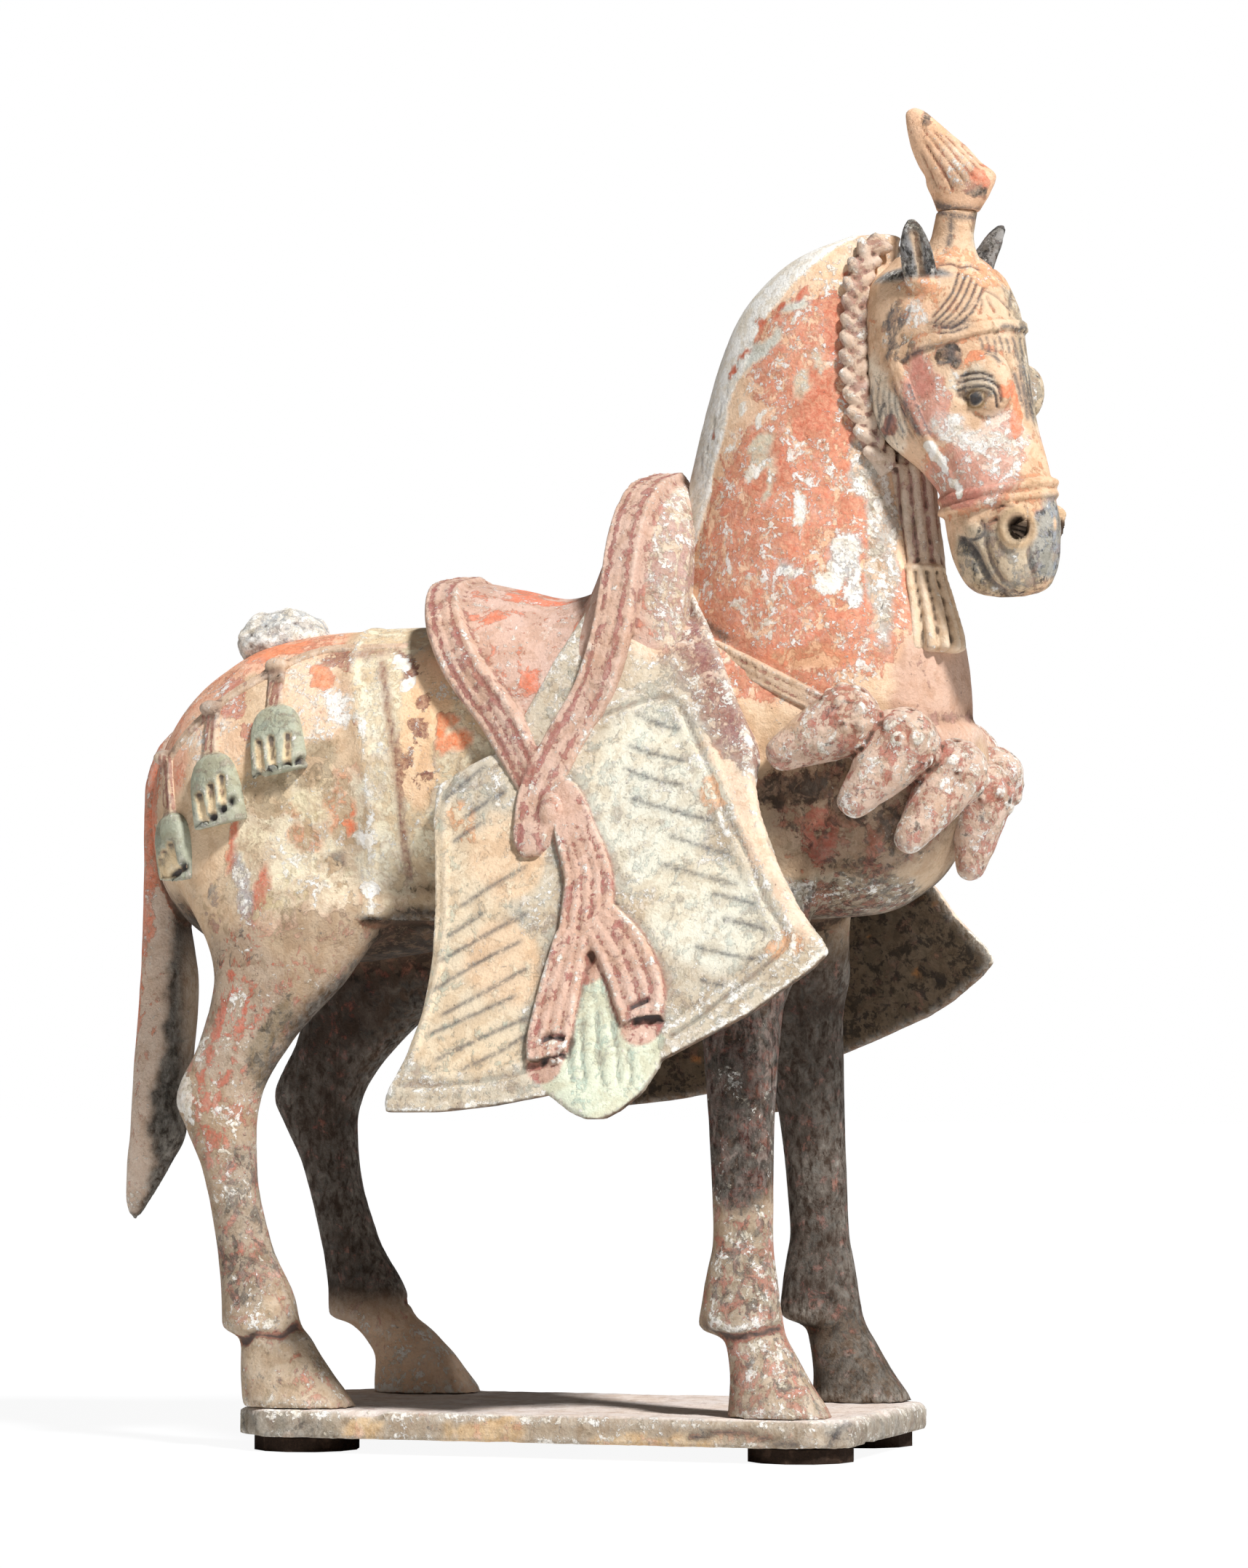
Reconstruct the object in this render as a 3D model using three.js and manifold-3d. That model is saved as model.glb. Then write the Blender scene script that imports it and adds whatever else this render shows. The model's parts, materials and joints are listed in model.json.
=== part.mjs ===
// A Chinese tomb horse of painted pottery, in millimetres, +Z up, head towards +X.
// It stands on a thin plinth with four felt pads, and a plume sits on the stub between its ears.
import * as THREE from "three";
import Module from "manifold-3d";

const wasm = await Module();
wasm.setup();

// Driving sizes
const horseHeight = 418; // soles of the hooves to the crest of the neck
const flapThickness = 5.5; // wall of the saddle flaps
const plinthSideMargin = 0.5; // from the hooves to the plinth's long edges
const plinthHindMargin = 1; // from the hind hooves to the plinth's end
const plinthFrontMargin = 5; // from the far front hoof to the plinth's end
const plinthThickness = 10;
const plinthCornerCut = 12;
const padDiameter = 38;
const padThickness = 5;
const padInset = 3; // from the pads' rims to the plinth's edges
const plumeLength = 38.5;
const stubRadius = 7.4; // of the stub that carries the plume
const seatGap = 0.3; // between pieces that touch

// The figure is free-form: its places are drawn for this height and sized to horseHeight as they are built
const drawnHeight = 418;
const unit = horseHeight / drawnHeight;
const flapWall = flapThickness / unit;
const stubHalf = stubRadius / unit;

// Turn of the head towards the near side, about an upright line through the neck
const headTurn = THREE.MathUtils.degToRad(18);
const headPivot = 100;

// The near side is the one with its face turned to the viewer, at -Y
const near = -1;
const far = 1;

// Solids from points and faces, always with the faces pointing out
function toSolid(points, faces, scale) {
  const vertProperties = new Float32Array(points.flatMap((p) => [p.x * scale, p.y * scale, p.z * scale]));
  let volume = 0;
  for (let i = 0; i < faces.length; i += 3) {
    const [a, b, c] = [points[faces[i]], points[faces[i + 1]], points[faces[i + 2]]];
    volume += a.dot(new THREE.Vector3().crossVectors(b, c));
  }
  const triVerts = new Uint32Array(volume > 0 ? faces : faces.slice().reverse());
  return new wasm.Manifold(new wasm.Mesh({ numProp: 3, vertProperties, triVerts }));
}

// A closed skin over a row of rings that all have the same number of points
function loft(rings, scale = unit) {
  const count = rings[0].length;
  const points = rings.flat();
  const faces = [];
  for (let row = 0; row + 1 < rings.length; row++) {
    for (let i = 0; i < count; i++) {
      const a = row * count + i;
      const b = row * count + ((i + 1) % count);
      faces.push(a, b, b + count, a, b + count, a + count);
    }
  }
  const last = (rings.length - 1) * count;
  const middle = (ring) => ring.reduce((sum, p) => sum.add(p), new THREE.Vector3()).divideScalar(count);
  const low = points.length;
  points.push(middle(rings[0]), middle(rings[rings.length - 1]));
  for (let i = 0; i < count; i++) {
    const next = (i + 1) % count;
    faces.push(low, next, i);
    faces.push(low + 1, last + i, last + next);
  }
  return toSolid(points, faces, scale);
}

// A point on an oval of unit size: power 2 is an ellipse, more is squarer
function oval(angle, power) {
  const along = Math.cos(angle);
  const across = Math.sin(angle);
  return [
    Math.sign(along) * Math.abs(along) ** (2 / power),
    Math.sign(across) * Math.abs(across) ** (2 / power),
  ];
}

// Half width of that oval at a share of its length from the middle
function ovalHalf(share, power) {
  return Math.max(0, 1 - Math.min(1, Math.abs(share)) ** power) ** (1 / power);
}

function angles(sides) {
  return Array.from({ length: sides }, (_, i) => ((i + 0.5) / sides) * 2 * Math.PI);
}

// A level ring from rear to front at one height
function levelRing({ z, rear, front, y = 0, half, sides, power = 2.2, rearPower = power }) {
  return angles(sides).map((angle) => {
    const [along, across] = oval(angle, Math.cos(angle) < 0 ? rearPower : power);
    return new THREE.Vector3((front + rear + along * (front - rear)) / 2, y + across * half, z);
  });
}

// The row of a table at a value of its first column, between its two nearest rows
function rowAt(rows, key) {
  const last = rows.length - 1;
  const next = Math.min(last, Math.max(1, rows.findIndex((row) => row[0] >= key)));
  const upper = key > rows[last][0] ? last : next;
  const [a, b] = [rows[upper - 1], rows[upper]];
  const share = THREE.MathUtils.clamp((key - a[0]) / (b[0] - a[0]), 0, 1);
  return a.map((value, i) => THREE.MathUtils.lerp(value, b[i], share));
}

// A place on a body's side, where width(x, z) is its half width there
function onSide(width, x, z, side) {
  const step = 1;
  const at = (u, w) => new THREE.Vector3(u, side * width(u, w), w);
  const along = at(x + step, z).sub(at(x - step, z));
  const up = at(x, z + step).sub(at(x, z - step));
  const normal = new THREE.Vector3().crossVectors(along, up).normalize();
  if (normal.y * side < 0) normal.negate();
  return { point: at(x, z), normal };
}

// A strap that follows places on a surface; its section is drawn from edge to edge at unit size
const strapSink = 2.5;
const flatSection = [
  [-0.75, 1],
  [0.75, 1],
];
const roofSection = [[0, 1]];
const fluted = (flutes) =>
  Array.from({ length: 2 * flutes + 1 }, (_, k) => {
    const edge = k === 0 || k === 2 * flutes;
    return [k / flutes - 1, edge ? 0.3 : k % 2 ? 1 : 0.55];
  });

function strap(places, section) {
  const rings = places.map(({ point, normal, width, thickness }, i) => {
    const ahead = places[Math.min(i + 1, places.length - 1)].point;
    const behind = places[Math.max(i - 1, 0)].point;
    const run = ahead.clone().sub(behind).normalize();
    const across = new THREE.Vector3().crossVectors(run, normal).normalize();
    const out = new THREE.Vector3().crossVectors(across, run).normalize();
    const at = (share, height) =>
      point.clone().addScaledVector(across, (share * width) / 2).addScaledVector(out, height);
    const ridge = section.map(([share, height]) => at(share, height * thickness));
    return [at(-1, -strapSink), ...ridge, at(1, -strapSink)];
  });
  return loft(rings);
}

// Trunk: station along the body, top, underside and half width
const trunkPower = 2.2;
const trunkRows = [
  [-164, 224, 200, 12],
  [-160, 238, 186, 25],
  [-151, 254, 173, 36],
  [-138, 266, 164, 45],
  [-118, 276, 158, 50.5],
  [-90, 280, 159, 52],
  [-35, 281, 166, 50],
  [45, 286, 170, 48],
  [80, 284, 173, 46],
  [108, 273, 175, 43],
  [128, 256, 185, 36],
  [140, 246, 204, 26],
  [146.5, 240, 224, 13],
];

function trunk() {
  const sides = 14;
  return loft(
    trunkRows.map(([x, top, bottom, half]) =>
      angles(sides).map((angle) => {
        const [across, up] = oval(angle, trunkPower);
        return new THREE.Vector3(x, across * half, (top + bottom + up * (top - bottom)) / 2);
      }),
    ),
  );
}

function trunkWidth(x, z) {
  const [, top, bottom, half] = rowAt(trunkRows, x);
  return half * ovalHalf((2 * z - top - bottom) / (top - bottom), trunkPower);
}

// Neck: height, rear, front and half width; it is thinner at the crest
const neckPower = 2.3;
const crestPower = 1.75;
const neckRows = [
  [215, 22, 139, 42],
  [245, 26, 142.5, 41],
  [270, 31, 140, 38],
  [295, 34, 130, 34.5],
  [345, 43.5, 119.5, 28],
  [370, 50.5, 118, 25.5],
  [388, 58, 117, 23],
  [402, 69.5, 116, 19.5],
  [411, 83, 116, 15],
  [417.5, 102, 118, 7],
];

function neck() {
  return loft(
    neckRows.map(([z, rear, front, half]) =>
      levelRing({ z, rear, front, half, sides: 12, power: neckPower, rearPower: crestPower }),
    ),
  );
}

function neckWidth(x, z) {
  const [, rear, front, half] = rowAt(neckRows, z);
  const share = (2 * x - rear - front) / (front - rear);
  return half * ovalHalf(share, share < 0 ? crestPower : neckPower);
}

// Legs: height, rear, front, half width and distance from the middle of the body
const hindLegRows = [
  [0, -113.5, -72, 15, 46],
  [12, -114.5, -81.5, 13.5, 46],
  [20, -114.5, -88, 11, 46],
  [28, -121, -92, 11.5, 46],
  [38, -122, -95.5, 11, 46],
  [57, -124.5, -104.5, 9, 45.5],
  [84, -130.5, -110.5, 9, 45],
  [99, -137, -111, 10, 44.5],
  [109, -141, -109.5, 11, 44],
  [130, -132.5, -98, 11, 43],
  [152, -128, -78.5, 14, 40],
  [166, -133, -68.5, 17, 37],
  [180, -141, -63, 20, 34],
  [210, -150, -65, 22, 29],
];
const frontLegRows = [
  [0, 67.5, 104, 15, 46],
  [12, 68.5, 96, 13.5, 46],
  [24, 67, 89, 11, 46],
  [33, 57, 87, 12, 46],
  [45, 59, 85, 11, 46],
  [62, 62, 83, 9.5, 45.5],
  [90, 61, 83, 10, 45],
  [139, 56.5, 85, 12.5, 41],
  [157, 55, 91.5, 14.5, 37.5],
  [200, 48, 112, 20, 30],
];

// How much further forward each far leg stands: height, step of its rear and of its front
const hindSteps = [
  [0, 15, 15],
  [12, 17, 15],
  [20, 12, 13],
  [28, 5, 9.5],
  [57, 4.5, 6.5],
  [99, 3, 5],
  [118, 3, 7],
  [152, 6, 16],
  [210, 12, 18],
];
const frontSteps = [
  [0, 4.5, 4.5],
  [24, 3, 3.5],
  [139, -2, -1],
];

function leg(rows, side, steps) {
  return loft(
    rows.map(([z, rear, front, half, out]) => {
      const [, rearStep, frontStep] = side === far ? rowAt(steps, z) : [z, 0, 0];
      return levelRing({ z, rear: rear + rearStep, front: front + frontStep, y: side * out, half, sides: 8 });
    }),
  );
}

function legs() {
  return [near, far].flatMap((side) => [leg(hindLegRows, side, hindSteps), leg(frontLegRows, side, frontSteps)]);
}

// Tail: height, rear, front and half width
const tailRows = [
  [64, -177.5, -175.5, 1],
  [71, -180, -171, 4],
  [84, -179.5, -163, 6.5],
  [96, -178, -157, 8.5],
  [118, -176.5, -155, 10],
  [150, -174, -152.5, 11],
  [180, -172.5, -156, 10.5],
  [222, -172.5, -155, 9],
  [238, -168, -150, 8],
  [246, -161, -150, 5],
];

function tail() {
  return loft(tailRows.map(([z, rear, front, half]) => levelRing({ z, rear, front, half, sides: 7 })));
}

// Head, in its own frame: height, middle, half depth and half width
const headPower = 2.5;
const headRows = [
  [286, 66.5, 9, 10, 0.1],
  [291, 65.8, 15.7, 13.5, 0.12],
  [302, 64.4, 19.7, 15.2, 0.2],
  [312, 63.3, 20.8, 15.7, 0.28],
  [321, 61.5, 20.5, 16.3, 0.34],
  [330, 57, 23, 17.4, 0.38],
  [344, 46.5, 29, 19.8, 0.34],
  [354, 43.2, 30, 21, 0.3],
  [384, 38.8, 28, 22.3, 0.12],
  [397, 36.5, 24.4, 20.5, 0.08],
  [408, 35, 14, 10, 0],
];

// The face also leans a little: its far side stands higher
const faceLean = 0.075;
const leaned = (point) => point.clone().setZ(point.z + faceLean * point.y);

function fromHead(point) {
  return point
    .clone()
    .applyAxisAngle(new THREE.Vector3(0, 0, 1), -headTurn)
    .add(new THREE.Vector3(headPivot, 0, 0));
}

// The head narrows towards the nose
const noseTaper = (share, taper) => 1 - taper * Math.max(0, share) ** 1.5;

function head() {
  const sides = 12;
  return loft(
    headRows.map(([z, middle, depth, half, taper]) =>
      angles(sides).map((angle) => {
        const [along, across] = oval(angle, headPower);
        const y = half * across * noseTaper(along, taper);
        return fromHead(leaned(new THREE.Vector3(middle + depth * along, y, z)));
      }),
    ),
  );
}

function headWidth(x, z) {
  const [, middle, depth, half, taper] = rowAt(headRows, z);
  const share = (x - middle) / depth;
  return half * ovalHalf(share, headPower) * noseTaper(share, taper);
}

function onHead(x, z, side) {
  const { point, normal } = onSide(headWidth, x, z, side);
  return { point: fromHead(leaned(point)), normal: normal.applyAxisAngle(new THREE.Vector3(0, 0, 1), -headTurn) };
}

// A rounded lump: an ellipsoid of a given size at a place
function lump(point, size, detail = 1) {
  const sphere = new THREE.IcosahedronGeometry(1, detail);
  const position = sphere.attributes.position;
  const points = [];
  const faces = [];
  const seen = new Map();
  for (let i = 0; i < position.count; i++) {
    const p = new THREE.Vector3().fromBufferAttribute(position, i);
    const key = [p.x, p.y, p.z].map((value) => value.toFixed(4)).join();
    if (!seen.has(key)) {
      seen.set(key, points.length);
      points.push(p.multiply(size).add(point));
    }
    faces.push(seen.get(key));
  }
  return toSolid(points, faces, unit);
}

// Face: the bulges over the eyes and the nostrils, each as place and height on the head
const brow = [63.5, 363];
const nostril = [74, 310];
function face() {
  return [near, far].flatMap((side) => [
    lump(onHead(...brow, side).point, new THREE.Vector3(8.5, 8, 9)),
    lump(onHead(...nostril, side).point, new THREE.Vector3(6, 4.2, 7), 0),
  ]);
}

function nostrils() {
  return [near, far].map((side) => {
    const { point, normal } = onHead(...nostril, side);
    return lump(point.addScaledVector(normal, 4), new THREE.Vector3(2.6, 4.5, 3.4), 0);
  });
}

// Ears: height, how far out, half depth, half width and how far forward the far one leans
const earRows = [
  [394, 18, 4.8, 4, 0],
  [401, 20, 6.2, 4.6, 0],
  [407, 21.8, 6, 4.2, 1],
  [412, 23.4, 4.4, 3.2, 3],
  [418.5, 25.5, 0.8, 0.8, 5],
];
const earX = 41.5;

function ear(side) {
  return loft(
    earRows.map(([z, out, depth, half, lean]) => {
      const x = earX + (side === far ? lean : 0);
      const ring = levelRing({ z, rear: x - depth, front: x + depth, y: side * out, half, sides: 6 });
      return ring.map(leaned).map(fromHead);
    }),
  );
}

// The stub for the plume rises out of a mound between the ears: height, middle and size
const stubTop = 422.5;
const stubRows = [
  [396, 41, 2.1],
  [403, 41, 1.7],
  [409, 41.6, 1.25],
  [415, 42.7, 1.03],
  [stubTop, 44.3, 1],
];

function stub() {
  return loft(
    stubRows.map(([z, middle, size]) => {
      const half = stubHalf * size;
      return levelRing({ z, rear: middle - half, front: middle + half, half: half * 0.9, sides: 10 }).map(fromHead);
    }),
  );
}

// Noseband: it circles the muzzle, higher in front, with two rounded ridges
function noseband() {
  const rows = [
    [-4.2, -1],
    [-3, 1.7],
    [0, 0.6],
    [3, 1.7],
    [4.2, -1],
  ];
  const height = 320;
  const rise = 2.5;
  const sides = 12;
  const [, middle, depth, half, taper] = rowAt(headRows, height);
  return loft(
    rows.map(([up, out]) =>
      angles(sides).map((angle) => {
        const [along, across] = oval(angle, headPower);
        const y = (half * noseTaper(along, taper) + out) * across;
        return fromHead(leaned(new THREE.Vector3(middle + (depth + out) * along, y, height + up + rise * along)));
      }),
    ),
  );
}

// Bridle straps on the cheeks: place along the head, height
const cheekStrap = [
  [27, 375],
  [36, 357],
  [41, 345],
  [46, 333],
  [52, 319],
];
const browband = [
  [32, 371],
  [42, 375],
  [52, 377],
  [62, 377],
];

function bridle(side) {
  const along = (rows, width) =>
    strap(rows.map(([x, z]) => ({ ...onHead(x, z, side), width, thickness: 1.6 })), flatSection);
  return [along(cheekStrap, 4), along(browband, 4.5)];
}

// Plaited halter behind the cheeks: height and place along the neck
const plaitRows = [
  [331, 117],
  [342, 111.5],
  [354, 108],
  [370, 106],
  [398, 106.5],
  [408, 109],
  [415, 113],
];
const plaits = 10;

function halter(side) {
  const bottom = plaitRows[0][0];
  const top = plaitRows[plaitRows.length - 1][0];
  const places = Array.from({ length: 2 * plaits + 1 }, (_, i) => {
    const z = bottom + ((top - bottom) * i) / (2 * plaits);
    const [, x] = rowAt(plaitRows, z);
    const full = i % 2 === 1;
    return { ...onSide(neckWidth, x, z, side), width: full ? 11 : 8.5, thickness: full ? 5 : 3.4 };
  });
  return strap(places, roofSection);
}

// Throat tassel in two fluted tiers: height, place, half size
const throatTiers = [
  [
    [338, 122, -7, 6],
    [330, 124.5, -9, 7.6],
    [315, 126, -9.5, 7.8],
    [297, 128, -10.5, 8],
    [295.5, 128, -10.5, 6],
  ],
  [
    [298, 127.5, -11, 7.5],
    [295, 127.5, -11, 9],
    [284, 129.5, -12, 10.5],
    [268, 131.5, -13, 12.3],
    [266.5, 131, -13, 10],
  ],
];

function throatTassel() {
  const sides = 12;
  const flute = 0.09;
  return throatTiers.map((rows) =>
    loft(
      rows.map(([z, x, y, half]) =>
        angles(sides).map((angle, i) => {
          const reach = half * (i % 2 ? 1 + flute : 1 - flute);
          return new THREE.Vector3(x + reach * Math.cos(angle), y + reach * Math.sin(angle), z);
        }),
      ),
    ),
  );
}

// Saddle: place of the top, place of the low side, top and half width
const saddleFloor = 215;
const saddlePower = 2.2;
const saddleRows = [
  [-55.5, -24, 281, 36],
  [-53.5, -20, 290, 43],
  [-47, -13, 296, 47.5],
  [-40, -8, 297, 49],
  [-24, -1, 294, 49.5],
  [-4, 5, 290, 48.5],
  [8, 10, 293, 47.5],
  [16, 15, 311, 46],
  [20, 19, 324, 44],
  [26, 24, 330.5, 43],
  [34, 32, 332, 41.5],
  [41, 40, 329, 40],
  [47, 47, 318, 37],
];

function saddle() {
  const sides = 12;
  return loft(
    saddleRows.map(([x, low, top, half]) =>
      angles(sides).map((angle) => {
        const [across, up] = oval(angle, saddlePower);
        const z = (top + saddleFloor - 15 + up * (top - saddleFloor + 15)) / 2;
        const lean = THREE.MathUtils.clamp((top - z) / (top - saddleFloor), 0, 1);
        return new THREE.Vector3(THREE.MathUtils.lerp(x, low, lean), across * half, z);
      }),
    ),
  );
}

// Fluted bands over the saddle's two arches: x, y, z and width, from the top down to the knot
const cantleBand = [
  [-45.5, 1.5, 296.5, 12],
  [-45.5, -22, 292.5, 13],
  [-41, -39, 281.5, 14],
  [-31, -48.5, 264, 15],
  [-13, -53.5, 241, 15],
  [-1, -59, 221, 12],
];
const pommelBand = [
  [31, 1.5, 332, 13],
  [29, -18, 327, 14],
  [27, -31, 315.5, 14],
  [26, -39, 300, 14],
  [25, -44.5, 280, 14.5],
  [20, -50, 256, 15],
  [8, -56, 231, 15],
  [2, -63, 212, 15],
  [2.5, -68.5, 197, 13],
];
const bandHeight = 3.4;

function band(rows, side, flutes) {
  const axisHeight = 255;
  return strap(
    rows.map(([x, y, z, width]) => {
      const point = new THREE.Vector3(x, -side * y, z);
      const normal = new THREE.Vector3(0, point.y, Math.max(0, z - axisHeight)).normalize();
      return { point, normal, width, thickness: bandHeight };
    }),
    fluted(flutes),
  );
}

// Saddle flaps: height, rear edge and front edge
const flapRows = [
  [105.5, -38, -20],
  [108, -39, 2],
  [111.5, -39, 20],
  [124, -34, 60],
  [139, -30.5, 88],
  [154, -29.5, 108],
  [160, -29.5, 113.5],
  [164, -30, 111],
  [176, -31, 100.5],
  [190, -33, 92],
  [208, -36, 83.5],
  [220, -36, 80],
  [228, -24, 79],
  [234, -12, 78],
  [264, 2, 63],
  [298, 20, 42],
];
const farFlapReach = 18; // the far flap's front corner stands further forward

// The flaps swing further out the lower they hang
function flare(x, z) {
  const top = 293;
  const drop = 183;
  return 38 + 66 * Math.max(0, (top - z) / drop) ** 1.2;
}

function flapEdges(z, side) {
  const [, rear, front] = rowAt(flapRows, z);
  const reach = side === far ? farFlapReach * THREE.MathUtils.clamp((front - 40) / 55, 0, 1) : 0;
  return [rear, front + reach];
}

// A rounded border runs round the flap's face
function flap(side) {
  const face = [0, 0.035, 0.08, 0.92, 0.965, 1];
  const relief = [-0.8, 0.8, -0.6, -0.6, 0.8, -0.8];
  const hidden = 216; // above this the flap lies on the body and is backed by it
  return loft(
    flapRows.map(([z]) => {
      const [rear, front] = flapEdges(z, side);
      const out = flare(0, z);
      const wall = flapWall + Math.max(0, z - hidden) * 0.5;
      const outer = face.map((share, i) => [rear + (front - rear) * share, out + relief[i]]);
      const inner = [1, 0].map((share) => [rear + (front - rear) * share, out - wall]);
      return [...outer, ...inner].map(([x, y]) => new THREE.Vector3(x, side * y, z));
    }),
  );
}

// Sash that hangs from the knot and parts into two ends: place, height and width
const sashRows = [
  [13, 216, 12],
  [18, 203, 15.5],
  [25.5, 184, 18.5],
  [27, 160, 22],
];
const sashEnds = [
  [
    [22, 164, 12],
    [20, 146, 14.5],
    [18.5, 130, 16],
    [18, 122, 13],
  ],
  [
    [36, 170, 14],
    [45, 159, 16],
    [51, 144, 17],
    [52, 136, 13],
  ],
];

function onFlap(rows, side, thickness) {
  return rows.map(([x, z, width]) => ({ ...onSide(flare, x, z, side), width, thickness }));
}

// The tongue between the sash ends: height, rear and front
const tongueRows = [
  [103.5, 35, 41],
  [106, 29, 46],
  [112, 20, 53],
  [121, 13.5, 58],
  [131, 18, 60],
  [143, 25, 46],
  [158, 31, 34],
];

function tongue(side) {
  const proud = 2.2;
  return loft(
    tongueRows.map(([z, rear, front]) => {
      const out = flare(0, z);
      const shares = [0, 0.25, 0.5, 0.75, 1];
      const outer = shares.map((s) => [rear + (front - rear) * s, out + proud * (s % 1 ? 1 : 0.2)]);
      const inner = [1, 0].map((s) => [rear + (front - rear) * s, out - flapWall + 0.4]);
      return [...outer, ...inner].map(([x, y]) => new THREE.Vector3(x, side * y, z));
    }),
  );
}

function sash(side) {
  return [
    strap(onFlap(sashRows, side, 4), fluted(2)),
    ...sashEnds.map((rows) => strap(onFlap(rows, side, 4.5), fluted(2))),
    tongue(side),
  ];
}

// Breast strap: place and height on the chest, from the flap to the front
const breastRows = [
  [58, 268],
  [78, 258],
  [96, 249],
  [125, 233],
];

function breastStrap(side) {
  const places = breastRows.map(([x, z]) => ({ ...onSide(neckWidth, x, z, side), width: 8, thickness: 3 }));
  return strap(places, fluted(2));
}

// Cone tassels with knobbly heads: radius, head and tip, for the near side and the middle
const tassels = [
  [11, [113.5, -45, 243], [86.5, -53, 229]],
  [11, [131.5, -40, 236], [112.5, -51, 211]],
  [9.8, [146, -26, 226], [130, -39, 198]],
  [9.8, [149, -2, 220], [143.5, -4, 189]],
];
const tasselProfile = [
  [-0.24, 0.4],
  [-0.12, 0.85],
  [0.1, 1.05],
  [0.42, 0.9],
  [1.02, 0.42],
  [1.1, 0.2],
];

function tassel(radius, headPoint, tipPoint) {
  const sides = 6;
  const knob = 0.1;
  const axis = tipPoint.clone().sub(headPoint);
  const run = axis.clone().normalize();
  const across = new THREE.Vector3().crossVectors(run, new THREE.Vector3(0, 0, 1)).normalize();
  const up = new THREE.Vector3().crossVectors(across, run);
  return loft(
    tasselProfile.map(([share, size], row) =>
      angles(sides).map((angle, i) => {
        const knobbly = share < 0.3 ? knob * Math.sin(2.8 * i + 2 * row) : 0;
        const reach = radius * size * (1 + knobbly);
        return headPoint
          .clone()
          .addScaledVector(axis, share)
          .addScaledVector(across, reach * Math.cos(angle))
          .addScaledVector(up, reach * Math.sin(angle));
      }),
    ),
  );
}

function allTassels() {
  const middle = tassels.length - 1;
  return tassels.flatMap(([radius, from, to], i) => {
    const place = ([x, y, z], side) => new THREE.Vector3(x, -side * y, z);
    const sides = i === middle ? [near] : [near, far];
    return sides.map((side) => tassel(radius, place(from, side), place(to, side)));
  });
}

// Bell pendants on the rump: strap top, bell top and bell foot, each as place and height
const pendants = [
  [[-106, 264], [-103, 250], [-98.5, 226]],
  [[-129, 249], [-127, 233], [-122, 208]],
  [[-149, 232], [-146, 212], [-142, 190]],
];

function pendant(rows, side) {
  const [strapTop, bellTop, foot] = rows;
  const between = (share) => bellTop.map((value, i) => THREE.MathUtils.lerp(value, foot[i], share));
  const place = ([x, z], width, thickness) => ({ ...onSide(trunkWidth, x, z, side), width, thickness });
  return [
    strap([place(strapTop, 6, 1.6), place(bellTop, 6, 1.6)], flatSection),
    strap(
      [
        place(bellTop, 8, 1.5),
        place(between(0.2), 17, 4.5),
        place(between(1), 22, 5.8),
      ],
      fluted(2),
    ),
  ];
}

// Crupper strap above the pendants: place and height
const crupperRows = [
  [-58, 272],
  [-86, 272],
  [-115, 260],
  [-138, 244],
  [-153, 228],
];

function crupper(side) {
  const places = crupperRows.map(([x, z]) => ({ ...onSide(trunkWidth, x, z, side), width: 5, thickness: 1.6 }));
  return strap(places, flatSection);
}

// The broken rosette on the top of the rump
const rosette = lump(new THREE.Vector3(-116, 0, 277), new THREE.Vector3(18, 15, 13));

function horse() {
  const paired = [near, far].flatMap((side) => [
    flap(side),
    ...sash(side),
    band(cantleBand, side, 2),
    band(pommelBand, side, 3),
    breastStrap(side),
    ear(side),
    ...bridle(side),
    halter(side),
    ...pendants.flatMap((rows) => pendant(rows, side)),
    crupper(side),
  ]);
  const solids = [
    trunk(),
    neck(),
    head(),
    ...face(),
    ...legs(),
    tail(),
    saddle(),
    stub(),
    noseband(),
    ...throatTassel(),
    ...allTassels(),
    rosette,
    ...paired,
  ];
  const joined = wasm.Manifold.union(solids);
  return wasm.Manifold.difference([joined, ...nostrils()]);
}

// Plume: height as a share of its length, place, half depth and half width
const plumeRows = [
  [0, 44.9, 7.6, 6.6],
  [0.14, 45.9, 11, 7],
  [0.3, 46, 13.6, 7.5],
  [0.44, 41.5, 12, 7],
  [0.6, 37, 10.6, 6],
  [0.75, 32.6, 8, 4.8],
  [0.88, 29.2, 5.6, 3.6],
  [0.97, 27, 3.4, 2.2],
  [1, 26.6, 1.2, 1],
];

function plume() {
  const foot = stubTop * unit + seatGap;
  return loft(
    plumeRows.map(([share, middle, depth, half]) =>
      levelRing({ z: 0, rear: middle - depth, front: middle + depth, half, sides: 8 })
        .map(fromHead)
        .map((p) => p.multiplyScalar(unit).setZ(foot + share * plumeLength)),
    ),
    1,
  );
}

// Plinth: a thin slab with cut corners, sized by the stance of the hooves
const hindEnd = hindLegRows[0][1] * unit - plinthHindMargin;
const frontEnd = (frontLegRows[0][2] + frontSteps[0][2]) * unit + plinthFrontMargin;
const stanceWidth = 2 * (hindLegRows[0][3] + hindLegRows[0][4]) * unit;
const plinthLength = frontEnd - hindEnd;
const plinthMiddle = (frontEnd + hindEnd) / 2;
const plinthWidth = stanceWidth + 2 * plinthSideMargin;

function plinth() {
  const [x, y, cut] = [plinthLength / 2, plinthWidth / 2, plinthCornerCut];
  const outline = [
    [x, y - cut],
    [x - cut, y],
    [cut - x, y],
    [-x, y - cut],
    [-x, cut - y],
    [cut - x, -y],
    [x - cut, -y],
    [x, cut - y],
  ];
  const ring = (z) => outline.map(([u, v]) => new THREE.Vector3(u, v, z));
  return loft([ring(0), ring(plinthThickness)], 1);
}

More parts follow.
